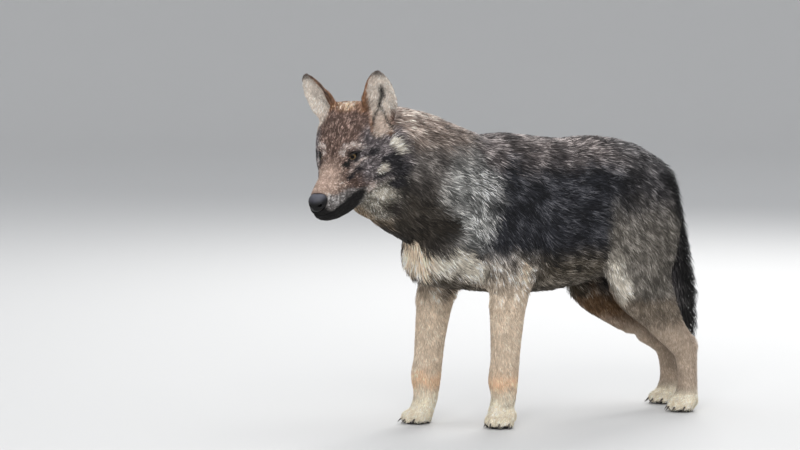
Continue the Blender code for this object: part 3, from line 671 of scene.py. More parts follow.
def ear_markings(own, across):
    """The ears' colours: cream inside with painted shade in a fork down the hollow, tan behind, dark round
    the tip.
    """
    colour = palette()
    inside, height, aside, half = ear_places(own, across)[:4]
    dark, back, front = colour["lips"], colour["ear_back"], colour["ear_front"]
    outside = mixed(np.tile(back, (len(own), 1)), dark * 4, ramp(0.30, 0.75, height) * 0.55)
    # Painted shade in the ear's hollow: a dark stem and branches down its middle, stronger on the left ear.
    shade_stem = aside + 0.008 - 0.054 * np.clip(0.42 - height, 0.0, 0.6)
    shade_stem = np.exp(-((shade_stem / (0.0034 + 0.0036 * ramp(0.30, 0.45, height))) ** 2)) * ramp(0.72, 0.54, height)
    shade_branch = np.exp(-(((aside + 0.061 * (0.28 - height)) / 0.0026) ** 2)) * ramp(0.34, 0.26, height)
    hollow = np.clip(shade_stem + shade_branch, 0, 1) * (0.35 + 0.65 * (own[:, 1] > 0))
    edge = aside / half - 0.22 * (own[:, 1] > 0) * ramp(0.10, 0.45, height)
    lining = np.tile(colour["ear_lining"], (len(own), 1))
    for tone, share in (
        (front, ramp(-0.10, 0.25, aside / half) * 0.8),
        ((back + front) / 2, ramp(0.26, 0.04, height) * 0.75),
        (dark * 1.2, hollow),
        (back, ramp(0.56, 0.66, edge)),
        (dark * 4, 0.85 * ramp(0.84, 0.94, edge) * ramp(0.2, 0.5, height)),
        (dark * 5, ramp(0.76, 0.90, height) * 0.85),
    ):
        lining = mixed(lining, tone, share)
    return outside + (lining - outside) * inside[:, None]


def face_markings(own):
    """The head's own mean colours and how much its hairs differ from them."""
    place = both_sides(own)
    fx, fy, fz = place.T
    colour = palette()
    tone = np.tile(colour["forehead"], (len(own), 1))
    spread = np.full(len(own), 1.25)
    ruff = ramp(-0.085, -0.105, fx) * ramp(-0.04, -0.08, fz)
    ruff = ruff + ramp(0.076, 0.090, fy) * ramp(-0.075, -0.095, fz)
    ruff = ruff + ramp(0.045, 0.065, fy) * ramp(-0.118, -0.134, fz)
    sides = ramp(-0.020, 0.015, fx) * ramp(-0.0590, -0.0690, fz - 0.29 * fx)
    bridge = ramp(0.018, 0.050, fx + 0.25 * fz) * (1 - sides)
    tone = painted(tone, colour, (
        ("cheek", ramp(0.026, 0.044, fy + 0.25 * fz) * ramp(0.060, 0.030, fx) * ramp(0.025, 0.0, fz)),
        ("jowl", ramp(-0.060, -0.085, fz) * ramp(0.050, 0.020, fx)),
        ("collar", np.clip(ruff, 0, 1)),
        ("muzzle_side", sides),
        ("muzzle_top", bridge * (1 - 0.45 * ramp(0.018, 0.034, fy))),
    ))
    spread = spread * (1 - 0.60 * bridge * ramp(0.030, 0.018, fy)) + 0.15 * sides
    for patch, name in marks(place, FACE_SPOTS):
        tone = mixed(tone, colour[name], patch)
        spread = spread * (1 - 0.5 * patch * (name in ("brow", "pale")))
    level = mouth_level(own)
    high = 0.0085 + 0.0090 * ramp(0.075, 0.030, fx)
    lips = np.exp(-(((fz - level + 0.004) / high) ** 2)) * ramp(-0.014, 0.010, fx)
    chin = ramp(-0.008, 0.020, fx) * ramp(0.004, -0.004, fz - level)
    snout = ramp(0.026, 0.016, fy) * ramp(0.100, 0.112, fx) * ramp(-0.050, -0.058, fz)
    rims = ramp(0.50, 0.26, least_lid_gap(own)) * ramp(0.0200, 0.0165, eye_distance(own))
    dim = np.clip(np.maximum(lips * 1.4, chin) + snout + rims, 0, 1)
    tone = mixed(tone, colour["lips"], dim)
    return tone, spread * (1 - 0.6 * dim)


def both_sides(own):
    """The head's points with its right side folded over onto the left."""
    return np.column_stack((own[:, 0], np.abs(own[:, 1]), own[:, 2]))


def ear_places(own, across):
    """How each point lies to its ear: how far it faces the hollow, its height, its way to the inner edge,
    the ear's half width there, and how far it belongs to the ear's foot on the head."""
    faced = across @ HEAD_AXES
    inside, height, aside, foot = (np.zeros(len(own)) for _ in range(4))
    for side, (facing, root, tip) in EARS.items():
        here = np.where(own[:, 1] > 0, 1, -1) == side
        axis = np.array(tip) - np.array(root)
        way = np.array(facing)
        inner = np.cross(way, axis / np.linalg.norm(axis)) * side
        off = own - np.array(root)
        up = off @ axis / (axis @ axis)
        inside = np.where(here, ramp(-0.05, 0.30, faced @ way), inside)
        height = np.where(here, up, height)
        aside = np.where(here, off @ inner, aside)
        foot = np.where(here, ramp(0.036, 0.024, np.abs(off @ way)), foot)
    foot *= ramp(-0.20, -0.10, height) * ramp(0.45, 0.30, height)
    foot *= ramp(0.030, 0.023, -aside) * ramp(0.020, 0.014, aside)
    low = np.clip(height, 0.0, 0.97)
    half = EAR_WIDTH * (0.62 + 1.25 * low - 0.70 * low**2) * (1 - low**2.3) ** 0.7
    return inside, height, aside, half, foot * ramp(-0.2, 0.1, inside - 0.1)


# ---------------------------------------------------------------- materials


def new_tree(name):
    """A new material's node tree with its Principled shader."""
    material = bpy.data.materials.new(name)
    material.use_nodes = True
    tree = material.node_tree
    return material, tree, tree.nodes["Principled BSDF"]


def joined(tree, kind, **values):
    """A new node with its settings and unlinked inputs given by name."""
    node = tree.nodes.new(kind)
    for name, value in values.items():
        if name in node.inputs:
            node.inputs[name].default_value = value
        else:
            setattr(node, name, value)
    return node


@lru_cache(maxsize=1)
def hair_tone_group():
    """Colour that varies over fine hair and broader lumps, and the hair's height."""
    group = bpy.data.node_groups.new("Hair Tone", "ShaderNodeTree")
    for name, kind, value in (
        ("Colour", "NodeSocketColor", (0.5, 0.5, 0.5, 1.0)),
        ("Hair Scale", "NodeSocketFloat", 900.0),
        ("Lump Scale", "NodeSocketFloat", 60.0),
        ("Contrast", "NodeSocketFloat", 0.35),
    ):
        group.interface.new_socket(name, in_out="INPUT", socket_type=kind).default_value = value
    for name, kind in (("Colour", "NodeSocketColor"), ("Height", "NodeSocketFloat")):
        group.interface.new_socket(name, in_out="OUTPUT", socket_type=kind)
    given, made = group.nodes.new("NodeGroupInput").outputs, group.nodes.new("NodeGroupOutput").inputs
    place = group.nodes.new("ShaderNodeTexCoord").outputs["Object"]
    fine = joined(group, "ShaderNodeTexNoise", Detail=3.0, Roughness=0.6)
    lumps = joined(group, "ShaderNodeTexNoise", Detail=2.0)
    total, centred, scaled, lifted = (
        joined(group, "ShaderNodeMath", operation=way) for way in ("ADD", "SUBTRACT", "MULTIPLY", "ADD")
    )
    centred.inputs[1].default_value = 1.0
    lifted.inputs[1].default_value = 1.0
    tinted = joined(group, "ShaderNodeVectorMath", operation="SCALE")
    for source, target in (
        (place, fine.inputs["Vector"]),
        (place, lumps.inputs["Vector"]),
        (given["Hair Scale"], fine.inputs["Scale"]),
        (given["Lump Scale"], lumps.inputs["Scale"]),
        (fine.outputs["Fac"], total.inputs[0]),
        (lumps.outputs["Fac"], total.inputs[1]),
        (total.outputs[0], centred.inputs[0]),
        (centred.outputs[0], scaled.inputs[0]),
        (given["Contrast"], scaled.inputs[1]),
        (scaled.outputs[0], lifted.inputs[0]),
        (given["Colour"], tinted.inputs[0]),
        (lifted.outputs[0], tinted.inputs["Scale"]),
        (tinted.outputs[0], made["Colour"]),
        (fine.outputs["Fac"], made["Height"]),
    ):
        group.links.new(source, target)
    return group


def toned_material(name, colour, roughness, contrast, hair_scale, bump, specular=0.5, lump_scale=60.0):
    """A material whose colour is the mesh attribute of that name, varied by the Hair Tone group."""
    material, tree, shader = new_tree(name)
    tone = tree.nodes.new("ShaderNodeGroup")
    tone.node_tree = hair_tone_group()
    for socket, value in (("Hair Scale", hair_scale), ("Lump Scale", lump_scale), ("Contrast", contrast)):
        tone.inputs[socket].default_value = value
    source = joined(tree, "ShaderNodeAttribute", attribute_name=colour)
    tree.links.new(source.outputs["Color"], tone.inputs["Colour"])
    tree.links.new(tone.outputs["Colour"], shader.inputs["Base Color"])
    relief = joined(tree, "ShaderNodeBump", Strength=bump, Distance=0.0008)
    tree.links.new(tone.outputs["Height"], relief.inputs["Height"])
    tree.links.new(relief.outputs["Normal"], shader.inputs["Normal"])
    shader.inputs["Roughness"].default_value = roughness
    shader.inputs["Specular IOR Level"].default_value = specular
    return material


@lru_cache(maxsize=1)
def coat_material():
    """Dull, slightly glossy hair in the coat's own colours."""
    material = toned_material("Coat", "coat colour", 0.62, 0.45, 700.0, 0.15, specular=0.2)
    shader = material.node_tree.nodes["Principled BSDF"]
    shader.inputs["Sheen Weight"].default_value = 0.04
    shader.inputs["Sheen Roughness"].default_value = 0.5
    return material


def place_piece(mesh, name, material, replaced=()):
    """Adds the mesh as a piece on the body, standing for the named nodes."""
    obj = bpy.data.objects.new(name, mesh)
    bpy.context.scene.collection.objects.link(obj)
    mesh.materials.append(material)
    if replaced:
        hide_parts(*replaced)
    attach(obj, "root")
    return obj


# ---------------------------------------------------------------- coat


# The map has one column for each side of each kind of part.
COLUMNS = 2 * len(PARTS)


def skin_uv(points, kinds):
    """A place for each point on an unwrap of the skin: round each part, and along it."""
    u, v = np.zeros(len(points)), np.zeros(len(points))
    for kind in np.unique(kinds):
        for side in (-1, 1):
            chosen = (kinds == kind) & (np.where(points[:, 0] > MIDLINE, 1, -1) == side)
            if not chosen.any():
                continue
            own = points[chosen]
            low, high = own.min(axis=0), own.max(axis=0)
            size = np.maximum(high - low, 1e-6)
            long = int(np.argmax(size))
            others = [axis for axis in range(3) if axis != long]
            local = (own - (low + high) / 2) / size
            turn = np.arctan2(local[:, others[1]], local[:, others[0]]) / (2 * math.pi) + 0.5
            along = (own[:, long] - low[long]) / size[long]
            column = (kind * 2 + (side > 0)) / COLUMNS
            u[chosen] = column + (0.04 + 0.92 * turn) / COLUMNS
            v[chosen] = 0.02 + 0.96 * along
    return u, v


def spread_uv(u, v):
    """The places in u stretched so that the columns in use fill the square."""
    columns = np.floor(u * COLUMNS).astype(int)
    used = np.unique(columns)
    inside = u * COLUMNS - columns
    return (np.searchsorted(used, columns) + inside) / len(used), v


# A square metre in square centimetres.
SQUARE_METRE = 1e4


def roots_on(surface, seed):
    """Tuft roots spread evenly by each part's density: their triangle and share of its corners."""
    rng = np.random.default_rng(seed)
    areas = np.linalg.norm(triangle_normals(surface.points, surface.triangles), axis=1) / 2
    wanted = by_part(surface.parts, DENSITY) * SQUARE_METRE * density_change(surface)
    amount = areas * wanted[surface.triangles].mean(axis=1)
    ends = np.cumsum(amount * bpy.context.scene.wolf_sizes.thickness)
    counts = np.diff(np.floor(np.concatenate(((0.0,), ends)) + rng.uniform())).astype(int)
    owner = np.repeat(np.arange(len(counts)), counts)
    a, b = rng.uniform(size=(2, len(owner)))
    over = a + b > 1
    a[over], b[over] = 1 - a[over], 1 - b[over]
    return owner, np.column_stack((1 - a - b, a, b))


def density_change(surface):
    """Where the coat is thinner or denser than its part's, down to none on lids, lips, pads and claws."""
    own = in_head(surface.points)
    from_eye = eye_distance(own)
    change = np.maximum(ramp(0.06, 0.14, least_lid_gap(own)), ramp(0.0150, 0.0165, from_eye))
    change *= ramp(0.0128, 0.0132, from_eye)
    change *= 1 + 0.9 * ramp(0.020, 0.060, own[:, 0]) * ramp(0.06, 0.03, np.abs(own[:, 1]))
    nose_gap = np.linalg.norm((own - np.array(NOSE_AT)) / np.array((0.020, 0.022, 0.0185)), axis=1)
    change *= ramp(0.98, 1.05, nose_gap)
    off = np.abs(own[:, 2] - mouth_level(own))
    change[(off < 0.0014) & (own[:, 0] > MOUTH_BACK) & (own[:, 0] < MOUTH_FRONT)] = 0.0
    under_foot = share_of(surface.parts, "paw") * (surface.points[:, 2] < 0.007)
    change *= 1 - np.clip(3 * under_foot, 0, 1)
    change *= claw_clearance(surface.points)
    return change


def tuft_sizes(roots):
    """Each tuft's length, half width and rise, from its part and its place."""
    rng = np.random.default_rng(5)
    count = len(roots["at"])
    own = in_head(roots["at"])
    length = by_part(roots["parts"], LENGTH)
    head = share_of(roots["parts"], "head")
    muzzle = ramp(0.000, 0.060, own[:, 0])
    ruff = ramp(-0.045, -0.110, own[:, 0]) * ramp(0.045, -0.02, own[:, 2])
    near_eye = ramp(0.040, 0.016, eye_distance(own))
    length = length * (1 - head * (0.58 * muzzle + 0.35 * near_eye * (1 - muzzle)))
    crown = blot(both_sides(own), (-0.090, 0.026, 0.078), (0.034, 0.036, 0.034))
    length = length + head * 0.016 * ruff + 0.008 * crown
    below = ramp(0.2, -0.7, roots["across"][:, 2])
    trunk = share_of(roots["parts"], "neck", "chest", "belly")
    length = length * (1 + 0.25 * below * trunk)
    length = length * rng.uniform(0.72, 1.18, count)
    width = np.clip(0.00027 + length * 0.0165, 0.0004, 0.0010)
    rise = roots["depth"] * rng.uniform(0.62, 1.02, count) + 0.0003
    loft = ramp(-0.2, 0.9, cloud(roots["at"], 0.045, 9)) * trunk
    rear = ramp(0.2, 0.8, roots["across"][:, 1]) * ramp(0.34, 0.42, roots["at"][:, 1])
    rise = rise * (1 + 0.18 * loft + 0.85 * rear) + 0.005 * crown
    stray = share_of(roots["parts"], "tail") * ramp(-0.75, -0.45, roots["comb"][:, 2])
    length = length * (1 - 0.7 * stray)
    rise = np.minimum(rise, length * 0.62)
    return length, width * rng.uniform(0.75, 1.2, count), rise


def gather(surface):
    """All the coat's roots with what the skin says at each."""
    owner, shares = roots_on(surface, 21)
    corners = surface.triangles[owner]

    def at_root(field):
        return np.einsum("nk,nk...->n...", shares, field[corners])

    roots = {name: at_root(getattr(surface, name)) for name in ("across", "comb", "depth", "parts")}
    roots["at"] = at_root(surface.points)
    roots["across"] = unit(roots["across"])
    roots["kind"] = roots["parts"].argmax(axis=1)
    return roots


# The locks that tips draw together in: their size, their noise's seed and how far the tips are drawn.
LOCKS = ((0.0075, 40, 0.42), (0.024, 50, 0.16))


def lock_targets(tips, size, seed):
    """For each tip, the mean of the tips that share its lock."""
    warp = np.column_stack([cloud(tips, size * 2.2, seed + i) for i in range(3)]) * size * 0.7
    cell = np.floor((tips + warp) / size).astype(np.int64)
    key = cell @ CELL_KEY
    _, index = np.unique(key, return_inverse=True)
    index = index.ravel()
    total = np.column_stack([np.bincount(index, tips[:, axis]) for axis in range(3)])
    return (total / np.bincount(index)[:, None])[index]


def comb_out(roots):
    """Each tuft's run along the skin, its rise from it, its way across and its sideways bend."""
    rng = np.random.default_rng(8)
    count = len(roots["at"])
    length, width, rise = tuft_sizes(roots)
    across = roots["across"]
    fine = np.clip(1.5 - length / 0.02, 0.3, 1.0)
    sway = cloud(roots["at"], 0.055, 31) * 0.30 + cloud(roots["at"], 0.018, 32) * 0.20
    sway = sway * (1.1 - 0.5 * fine) + rng.normal(0, 0.13, count)
    comb = laid(roots["comb"], across)
    side = np.cross(across, comb)
    comb = comb * np.cos(sway)[:, None] + side * np.sin(sway)[:, None]
    side = np.cross(across, comb)
    run = np.sqrt(np.maximum(length**2 - rise**2, 0.2 * length**2))
    bend = length * rng.normal(0, 0.07, count)
    tips = roots["at"] + comb * run[:, None] + across * rise[:, None]
    pull = sum((lock_targets(tips, size, seed) - tips) * drawn for size, seed, drawn in LOCKS)
    pull *= np.clip(length / 0.018, 0.25, 1.0)[:, None]
    return {"run": run, "rise": rise, "comb": comb, "side": side, "bend": bend, "pull": pull, "width": width}


def tuft_points(roots, lie, chosen, steps):
    """The points of the chosen tufts: the root, three across at each step, then the tip."""
    rng = np.random.default_rng(13)
    at, across = roots["at"][chosen], roots["across"][chosen]
    comb, side = lie["comb"][chosen], lie["side"][chosen]
    run, rise = lie["run"][chosen], lie["rise"][chosen]
    width, bend, pull = lie["width"][chosen], lie["bend"][chosen], lie["pull"][chosen]
    roll = rng.normal(0, 0.35, len(at))
    flat = side * np.cos(roll)[:, None] + across * np.sin(roll)[:, None]
    ridge = across * np.cos(roll)[:, None] - side * np.sin(roll)[:, None]
    rows = []
    for t in (0.0, *steps, 1.0):
        lift = 1 - (1 - t) ** 1.7
        spine = at - across * 0.0006
        spine = spine + comb * (run * t)[:, None] + across * (rise * lift)[:, None]
        spine = spine + side * (bend * t * t)[:, None] + pull * t**1.5
        if t in (0.0, 1.0):
            rows.append(spine)
            continue
        half = (width * (0.75 + 0.9 * t) * (1 - t**2.2))[:, None]
        rows.append(spine - flat * half - ridge * half * 0.35)
        rows.append(spine + ridge * half * 0.45)
        rows.append(spine + flat * half - ridge * half * 0.35)
    return np.stack(rows, axis=1)


def tuft_faces(count, steps):
    """The faces of that many tufts: two at the root, strips between the steps, two at the tip."""
    start = (np.arange(count) * (3 * steps + 2))[:, None]
    last, tip = 3 * steps - 2, 3 * steps + 1
    ends, quads = [], []
    for k in (0, 1):
        ends.append(start + np.array((0, k + 2, k + 1)))
        ends.append(start + np.array((last + k, last + k + 1, tip)))
        for low in range(1, last, 3):
            quads.append(start + np.array((low + k, low + k + 1, low + k + 4, low + k + 3)))
    return [np.concatenate(part) for part in (quads, ends) if part]


def tuft_colours(roots, chosen, steps):
    """Each point's colour: dark at the root, then the coat's own tone, and a pale or dark tip."""
    rng = np.random.default_rng(17)
    at = roots["at"][chosen]
    tone, spread = (field[chosen] for field in roots["colours"])
    count = len(at)
    grain = np.clip(0.0022 + 0.10 * by_part(roots["parts"][chosen], LENGTH), 0, 0.0052)
    shaggy = ramp(0.0030, 0.0050, grain)
    lean = 0.9 * cloud(at, 0.034, 61) + 1.25 * cloud(at, 0.013, 62)
    lean = lean * (0.22 + 0.78 * shaggy) + 1.6 * cloud(at / grain[:, None], 1.0, 63)
    lean = lean + rng.normal(0, 1.0, count) * (0.85 - 0.15 * shaggy)
    factor = np.exp(spread * np.clip(lean, -2.2, 2.0) - 0.32 * spread**2)[:, None]
    frost = 0.5 * ramp(0.0, 1.6, lean)[:, None]
    cream = tone.mean(axis=1)[:, None] * np.array((1.06, 1.0, 0.93))
    ends = (tone + (cream - tone) * frost) * factor
    band = tone * (0.55 + 0.45 * factor)
    light = ramp(0.12, 0.45, tone.mean(axis=1))
    root = tone * (0.80 - 0.22 * shaggy * (1 - 0.7 * light))[:, None]
    rows = []
    for t in (0.0, *steps, 1.0):
        colour = mixed(root, band, ramp(0.0, 0.40, np.full(count, t)))
        colour = mixed(colour, ends, ramp(0.25, 0.80, np.full(count, t)))
        rows.extend([colour] * (3 if t in steps else 1))
    return np.clip(np.stack(rows, axis=1), 0.0, 0.95)


def tuft_uv(roots, chosen, steps, faces):
    """Each corner's place on the map: a small patch at its root's place, root to tip."""
    u, v = spread_uv(*skin_uv(roots["at"][chosen], roots["kind"][chosen]))
    rows = []
    for t in (0.0, *steps, 1.0):
        height = v + PATCH * (t - 0.5)
        spots = (-0.5, 0.0, 0.5) if t in steps else (0.0,)
        rows.extend(np.column_stack((u + PATCH * spot, height)) for spot in spots)
    flat = np.stack(rows, axis=1).reshape(-1, 2)
    return np.concatenate([flat[part.ravel()] for part in faces])


@lru_cache(maxsize=1)
def coat_plan():
    """The roots, their lie and their colours, worked out once for all the pieces."""
    roots = gather(form())
    rng = np.random.default_rng(77)
    loose = 0.0012 + 0.09 * by_part(roots["parts"], LENGTH)
    scatter = rng.normal(0, 1, roots["at"].shape) * loose[:, None]
    roots["colours"] = markings(roots["at"] + scatter, roots["parts"], roots["across"])
    return roots, comb_out(roots)


def coat_piece(name, chosen, long):
    """One piece of coat from the chosen roots."""
    roots, lie = coat_plan()
    steps = LONG_STEPS if long else SHORT_STEPS
    count = int(chosen.sum())
    points = tuft_points(roots, lie, chosen, steps)
    faces = tuft_faces(count, len(steps))
    mesh = mesh_from(name, points.reshape(-1, 3), faces)
    store(mesh, "coat colour", tuft_colours(roots, chosen, steps).reshape(-1, 3))
    layer = mesh.uv_layers.new(name="OFBake")
    layer.data.foreach_set("uv", tuft_uv(roots, chosen, steps, faces).astype(np.float32).ravel())
    print(name, count, "tufts", sum(len(f) * (f.shape[1] - 2) for f in faces), "triangles")
    return place_piece(mesh, name, coat_material())


# ---------------------------------------------------------------- claws and feet

# Each foot: how many degrees its toes turn from straight ahead, its size, and its toes' root, across and
# back, from the middle of its node's box.
FEET = {
    "foreleg_left": (38.0, 0.97, (-0.0131, 0.0153)),
    "foreleg_right": (-10.0, 0.97, (0.0030, 0.0197)),
    "hindleg_left": (12.0, 0.93, (-0.0038, 0.0214)),
    "hindleg_right": (-6.0, 0.93, (0.0011, 0.0222)),
}
# Each toe: how far it is to the side and ahead of the foot's middle.
TOES = ((-0.0235, 0.0220), (-0.0085, 0.0370), (0.0085, 0.0380), (0.0235, 0.0230))
TOE_HEIGHT = 0.0143
TOE_SPREAD = 9.0
# The claw: its radius at the root, its rings, where it starts from the toe's middle, its length and its fall.
CLAW_RADIUS = 0.0031
CLAW_RINGS = 9
CLAW_START = 0.009
CLAW_LENGTH = 0.0155
CLAW_FALL = 0.0115


def claw_spines():
    """Each claw as the middles of its rings, their radii, and the way it points."""
    spines = []
    for node, (turn, scale, offset) in FEET.items():
        side = 1 if node.endswith("left") else -1
        foot = middle(f"{node}_paw") + Vector((*offset, 0.0))
        for across, ahead in TOES:
            centre = Vector((side * across, -ahead, 0.0)) * scale
            centre.rotate(Quaternion((0, 0, 1), math.radians(turn)))
            centre += Vector((foot.x, foot.y, TOE_HEIGHT))
            way = Vector((0, -1, 0))
            way.rotate(Quaternion((0, 0, 1), math.radians(turn) + side * across * TOE_SPREAD))
            shares = np.linspace(0.0, 1.0, CLAW_RINGS + 1)
            radii = CLAW_RADIUS * (1 - shares) ** 0.6 + 0.0003
            line = np.array(centre) + np.outer(CLAW_START + CLAW_LENGTH * shares, np.array(way))
            line[:, 2] = np.maximum(line[:, 2] - CLAW_FALL * shares**1.6, radii + 0.0006)
            spines.append((line, radii, way))
    return spines


def claw_clearance(points):
    """0 at the claws and 1 away from them, so that no hair grows on them."""
    clear = np.ones(len(points))
    for line, *_ in claw_spines():
        for spot in line[2:]:
            clear *= ramp(0.0036, 0.0052, np.linalg.norm(points - spot, axis=1))
    return clear


def swept(rings, closed_tip=True):
    """The points and faces of a tube through equal rings, with its far end closed by a fan if asked."""
    rings = np.array(rings)
    turns, each = rings.shape[:2]
    points = np.concatenate((rings.reshape(-1, 3), rings[-1:].mean(axis=1)))
    k = np.arange(each)
    following = (k + 1) % each
    quads = [
        np.column_stack((low + k, low + following, low + each + following, low + each + k))
        for low in range(0, (turns - 1) * each, each)
    ]
    last = (turns - 1) * each
    fan = np.column_stack((last + k, last + following, np.full(each, turns * each)))
    return points, [np.concatenate(quads)] + ([fan] if closed_tip else [])


def build_claws():
    """All the claws as one piece of curved, tapering horn."""
    points, quads, fans, tones, count = [], [], [], [], 0
    turns = np.linspace(0, 2 * math.pi, 14, endpoint=False)
    for line, radii, way in claw_spines():
        side = np.array(way.cross(Vector((0, 0, 1))))
        rings = []
        for spot, radius in zip(line, radii):
            across = np.outer(0.74 * radius * np.cos(turns), side)
            rings.append(spot + across + np.outer(radius * np.sin(turns), (0, 0, 1)))
        own, (quad, fan) = swept(rings)
        points.append(own)
        quads.append(quad + count)
        fans.append(fan + count)
        tones.append(np.concatenate((np.repeat(np.linspace(0, 1, len(rings)), len(turns)), (1.0,))))
        count += len(own)
    mesh = mesh_from("claws", np.concatenate(points), [np.concatenate(quads), np.concatenate(fans)])
    along = np.concatenate(tones)[:, None]
    store(mesh, "horn colour", palette()["horn"] * (0.55 + 1.3 * along))
    material = toned_material("Claw Horn", "horn colour", 0.38, 0.5, 500.0, 0.1)
    place_piece(mesh, "claws", material)


# ---------------------------------------------------------------- eyes, lids and nose


# The eyeball's rings and their points, the cornea's edge and rise, and where its colours change, all as
# angles from the way the eye looks: the pupil's edge, the iris's darker rim, its edge and the dark white.
EYE_RINGS, EYE_TURNS = 56, 48
CORNEA_EDGE, CORNEA_RISE = (0.72, 0.36), 0.0007
PUPIL_EDGE = (0.310, 0.280)
IRIS_RIM = (0.46, 0.62)
IRIS_EDGE = (0.62, 0.68)
WHITE_EDGE = (0.80, 0.92)


def closed_ball(rows, poles):
    """The points and faces of a ball from its rings, back to front, and its front and back poles."""
    points, (quads, fan) = swept(rows)
    points = np.concatenate((points[:-1], poles))
    k = np.arange(len(rows[0]))
    back = np.column_stack((np.roll(k, -1), k, np.full(len(k), len(points) - 1)))
    return points, [quads, fan, back]


def ball_points(side):
    """One eyeball's rings about the way it looks, its front and back poles, and the rings' angles."""
    eye = eye_at(side)
    look = unit(np.array([(0.87, side * 0.46, 0.05)]))[0]
    first = unit(np.cross(look, (0, 0, 1.0))[None])[0]
    second = np.cross(look, first)

    def radius_at(angle):
        return EYE_RADIUS + CORNEA_RISE * float(ramp(*CORNEA_EDGE, np.array(angle)))

    angles = np.linspace(0.0, math.pi, EYE_RINGS)[1:-1]
    round_it = np.linspace(0, 2 * math.pi, EYE_TURNS, endpoint=False)
    flat = np.outer(np.cos(round_it), first) + np.outer(np.sin(round_it), second)
    rows = [eye + (look * math.cos(angle) + flat * math.sin(angle)) * radius_at(angle) for angle in angles]
    poles = (eye + look * radius_at(0.0), eye - look * radius_at(math.pi))
    return rows, poles, angles


def build_eye(side):
    """One eyeball with its cornea, the colours of pupil, iris and white, and painted shade of the upper lid.
    """
    rows, poles, angles = ball_points(side)
    points, faces = closed_ball(rows[::-1], poles)
    mesh = mesh_from(f"eyeball_{'left' if side > 0 else 'right'}", from_head(points), faces)
    angle = np.concatenate((np.repeat(angles[::-1], EYE_TURNS), (0.0, math.pi)))
    iris, lips = palette()["iris"], palette()["lips"]
    colour = np.tile(iris, (len(angle), 1))
    for tone, edge in (
        (iris * 0.50, IRIS_RIM),
        (lips * 0.3, IRIS_EDGE),
        (lips * 1.6, WHITE_EDGE),
        (lips * 0.1, PUPIL_EDGE),
    ):
        colour = mixed(colour, tone, ramp(*edge, angle))
    # Painted shade of the upper lid: the eye's colour darkens towards its top.
    colour *= 1 - 0.40 * ramp(0.0, 0.0045, points[:, 2] - EYE_PLACE.z)[:, None]
    store(mesh, "eye colour", colour)
    node = "eye_left" if side > 0 else "eye_right"
    place_piece(mesh, mesh.name, eye_material(), [node])


@lru_cache(maxsize=1)
def eye_material():
    """Wet, clear-coated eye."""
    material = toned_material("Eye", "eye colour", 0.22, 0.9, 1500.0, 0.02, lump_scale=500.0)
    shader = material.node_tree.nodes["Principled BSDF"]
    shader.inputs["Specular IOR Level"].default_value = 0.06
    shader.inputs["Coat Weight"].default_value = 0.12
    shader.inputs["Coat Roughness"].default_value = 0.04
    return material


# The lids' rim in section: how far past the opening's edge, as an angle, and how high over the eye.
LID_RIM = (
    (0.06, -0.0010), (0.0, -0.0002), (-0.01, 0.0005), (0.02, 0.0011), (0.06, 0.0014),
    (0.11, 0.0014), (0.17, 0.0011), (0.24, 0.0002), (0.34, -0.0014), (0.46, -0.0034),
)
LID_TURNS = 96


def build_lids(side):
    """The rim of both lids round one eye, from inside the opening out to under the skin."""
    facing, outer, up = eye_frame(side)
    turns = np.linspace(0, 2 * math.pi, LID_TURNS, endpoint=False)
    reach = opening_reach(turns)
    flat = np.outer(np.cos(turns), outer) + np.outer(np.sin(turns), up)
    rings = []
    for extra, rise in LID_RIM:
        angle = (reach + extra)[:, None]
        rings.append(eye_at(side) + (facing * np.cos(angle) + flat * np.sin(angle)) * (EYE_RADIUS + rise))
    points, quads = swept(rings, closed_tip=False)
    points = points[:-1]
    if side > 0:
        quads = [part[:, ::-1] for part in quads]
    mesh = mesh_from(f"lids_{'left' if side > 0 else 'right'}", from_head(points), quads)
    store(mesh, "skin colour", face_markings(points)[0])
    place_piece(mesh, mesh.name, lid_material())


@lru_cache(maxsize=1)
def lid_material():
    """Bare, slightly moist dark skin."""
    return toned_material("Lid Skin", "skin colour", 0.60, 0.3, 900.0, 0.25, specular=0.3)


# The nose pad's rings and their points, and how square its form is: 1 for an egg and less for a box.
NOSE_RINGS, NOSE_TURNS, NOSE_SQUARE = 64, 96, 0.82
# Each nostril's middle, out from the pad's middle and down, its half sizes, and how deep are it, the slit
# beside it, the groove between the two, and how high is its rim.
NOSTRIL_AT = (0.0102, 0.0020)
NOSTRIL_HALF = (0.0040, 0.0030)
NOSTRIL_DEEP, SLIT_DEEP, GROOVE_DEEP, RIM_HIGH = 0.0070, 0.0026, 0.0013, 0.0005


def hollow_at(aside, high):
    """How deep the front of the nose pad is pressed in at each place aside and up from its middle."""
    below = np.clip((0.004 - high) / 0.006, 0.0, 1.0)
    depth = GROOVE_DEEP * np.exp(-((aside / 0.0010) ** 2)) * below
    for side in (1, -1):
        out, up = aside * side - NOSTRIL_AT[0], high + NOSTRIL_AT[1]
        out, up = out * 0.90 + up * 0.30, up - out * 0.40
        away = np.hypot(out / NOSTRIL_HALF[0], up / NOSTRIL_HALF[1])
        hole = np.maximum(0.0, 1.0 - away**2) ** 0.8
        slit = np.exp(-(((up + 0.0008) / 0.0010) ** 2)) * np.clip(out / 0.003, 0.0, 1.0)
        rim = np.exp(-((away - 1.35) ** 2) / 0.06)
        depth += NOSTRIL_DEEP * hole + SLIT_DEEP * slit - RIM_HIGH * rim
    return depth


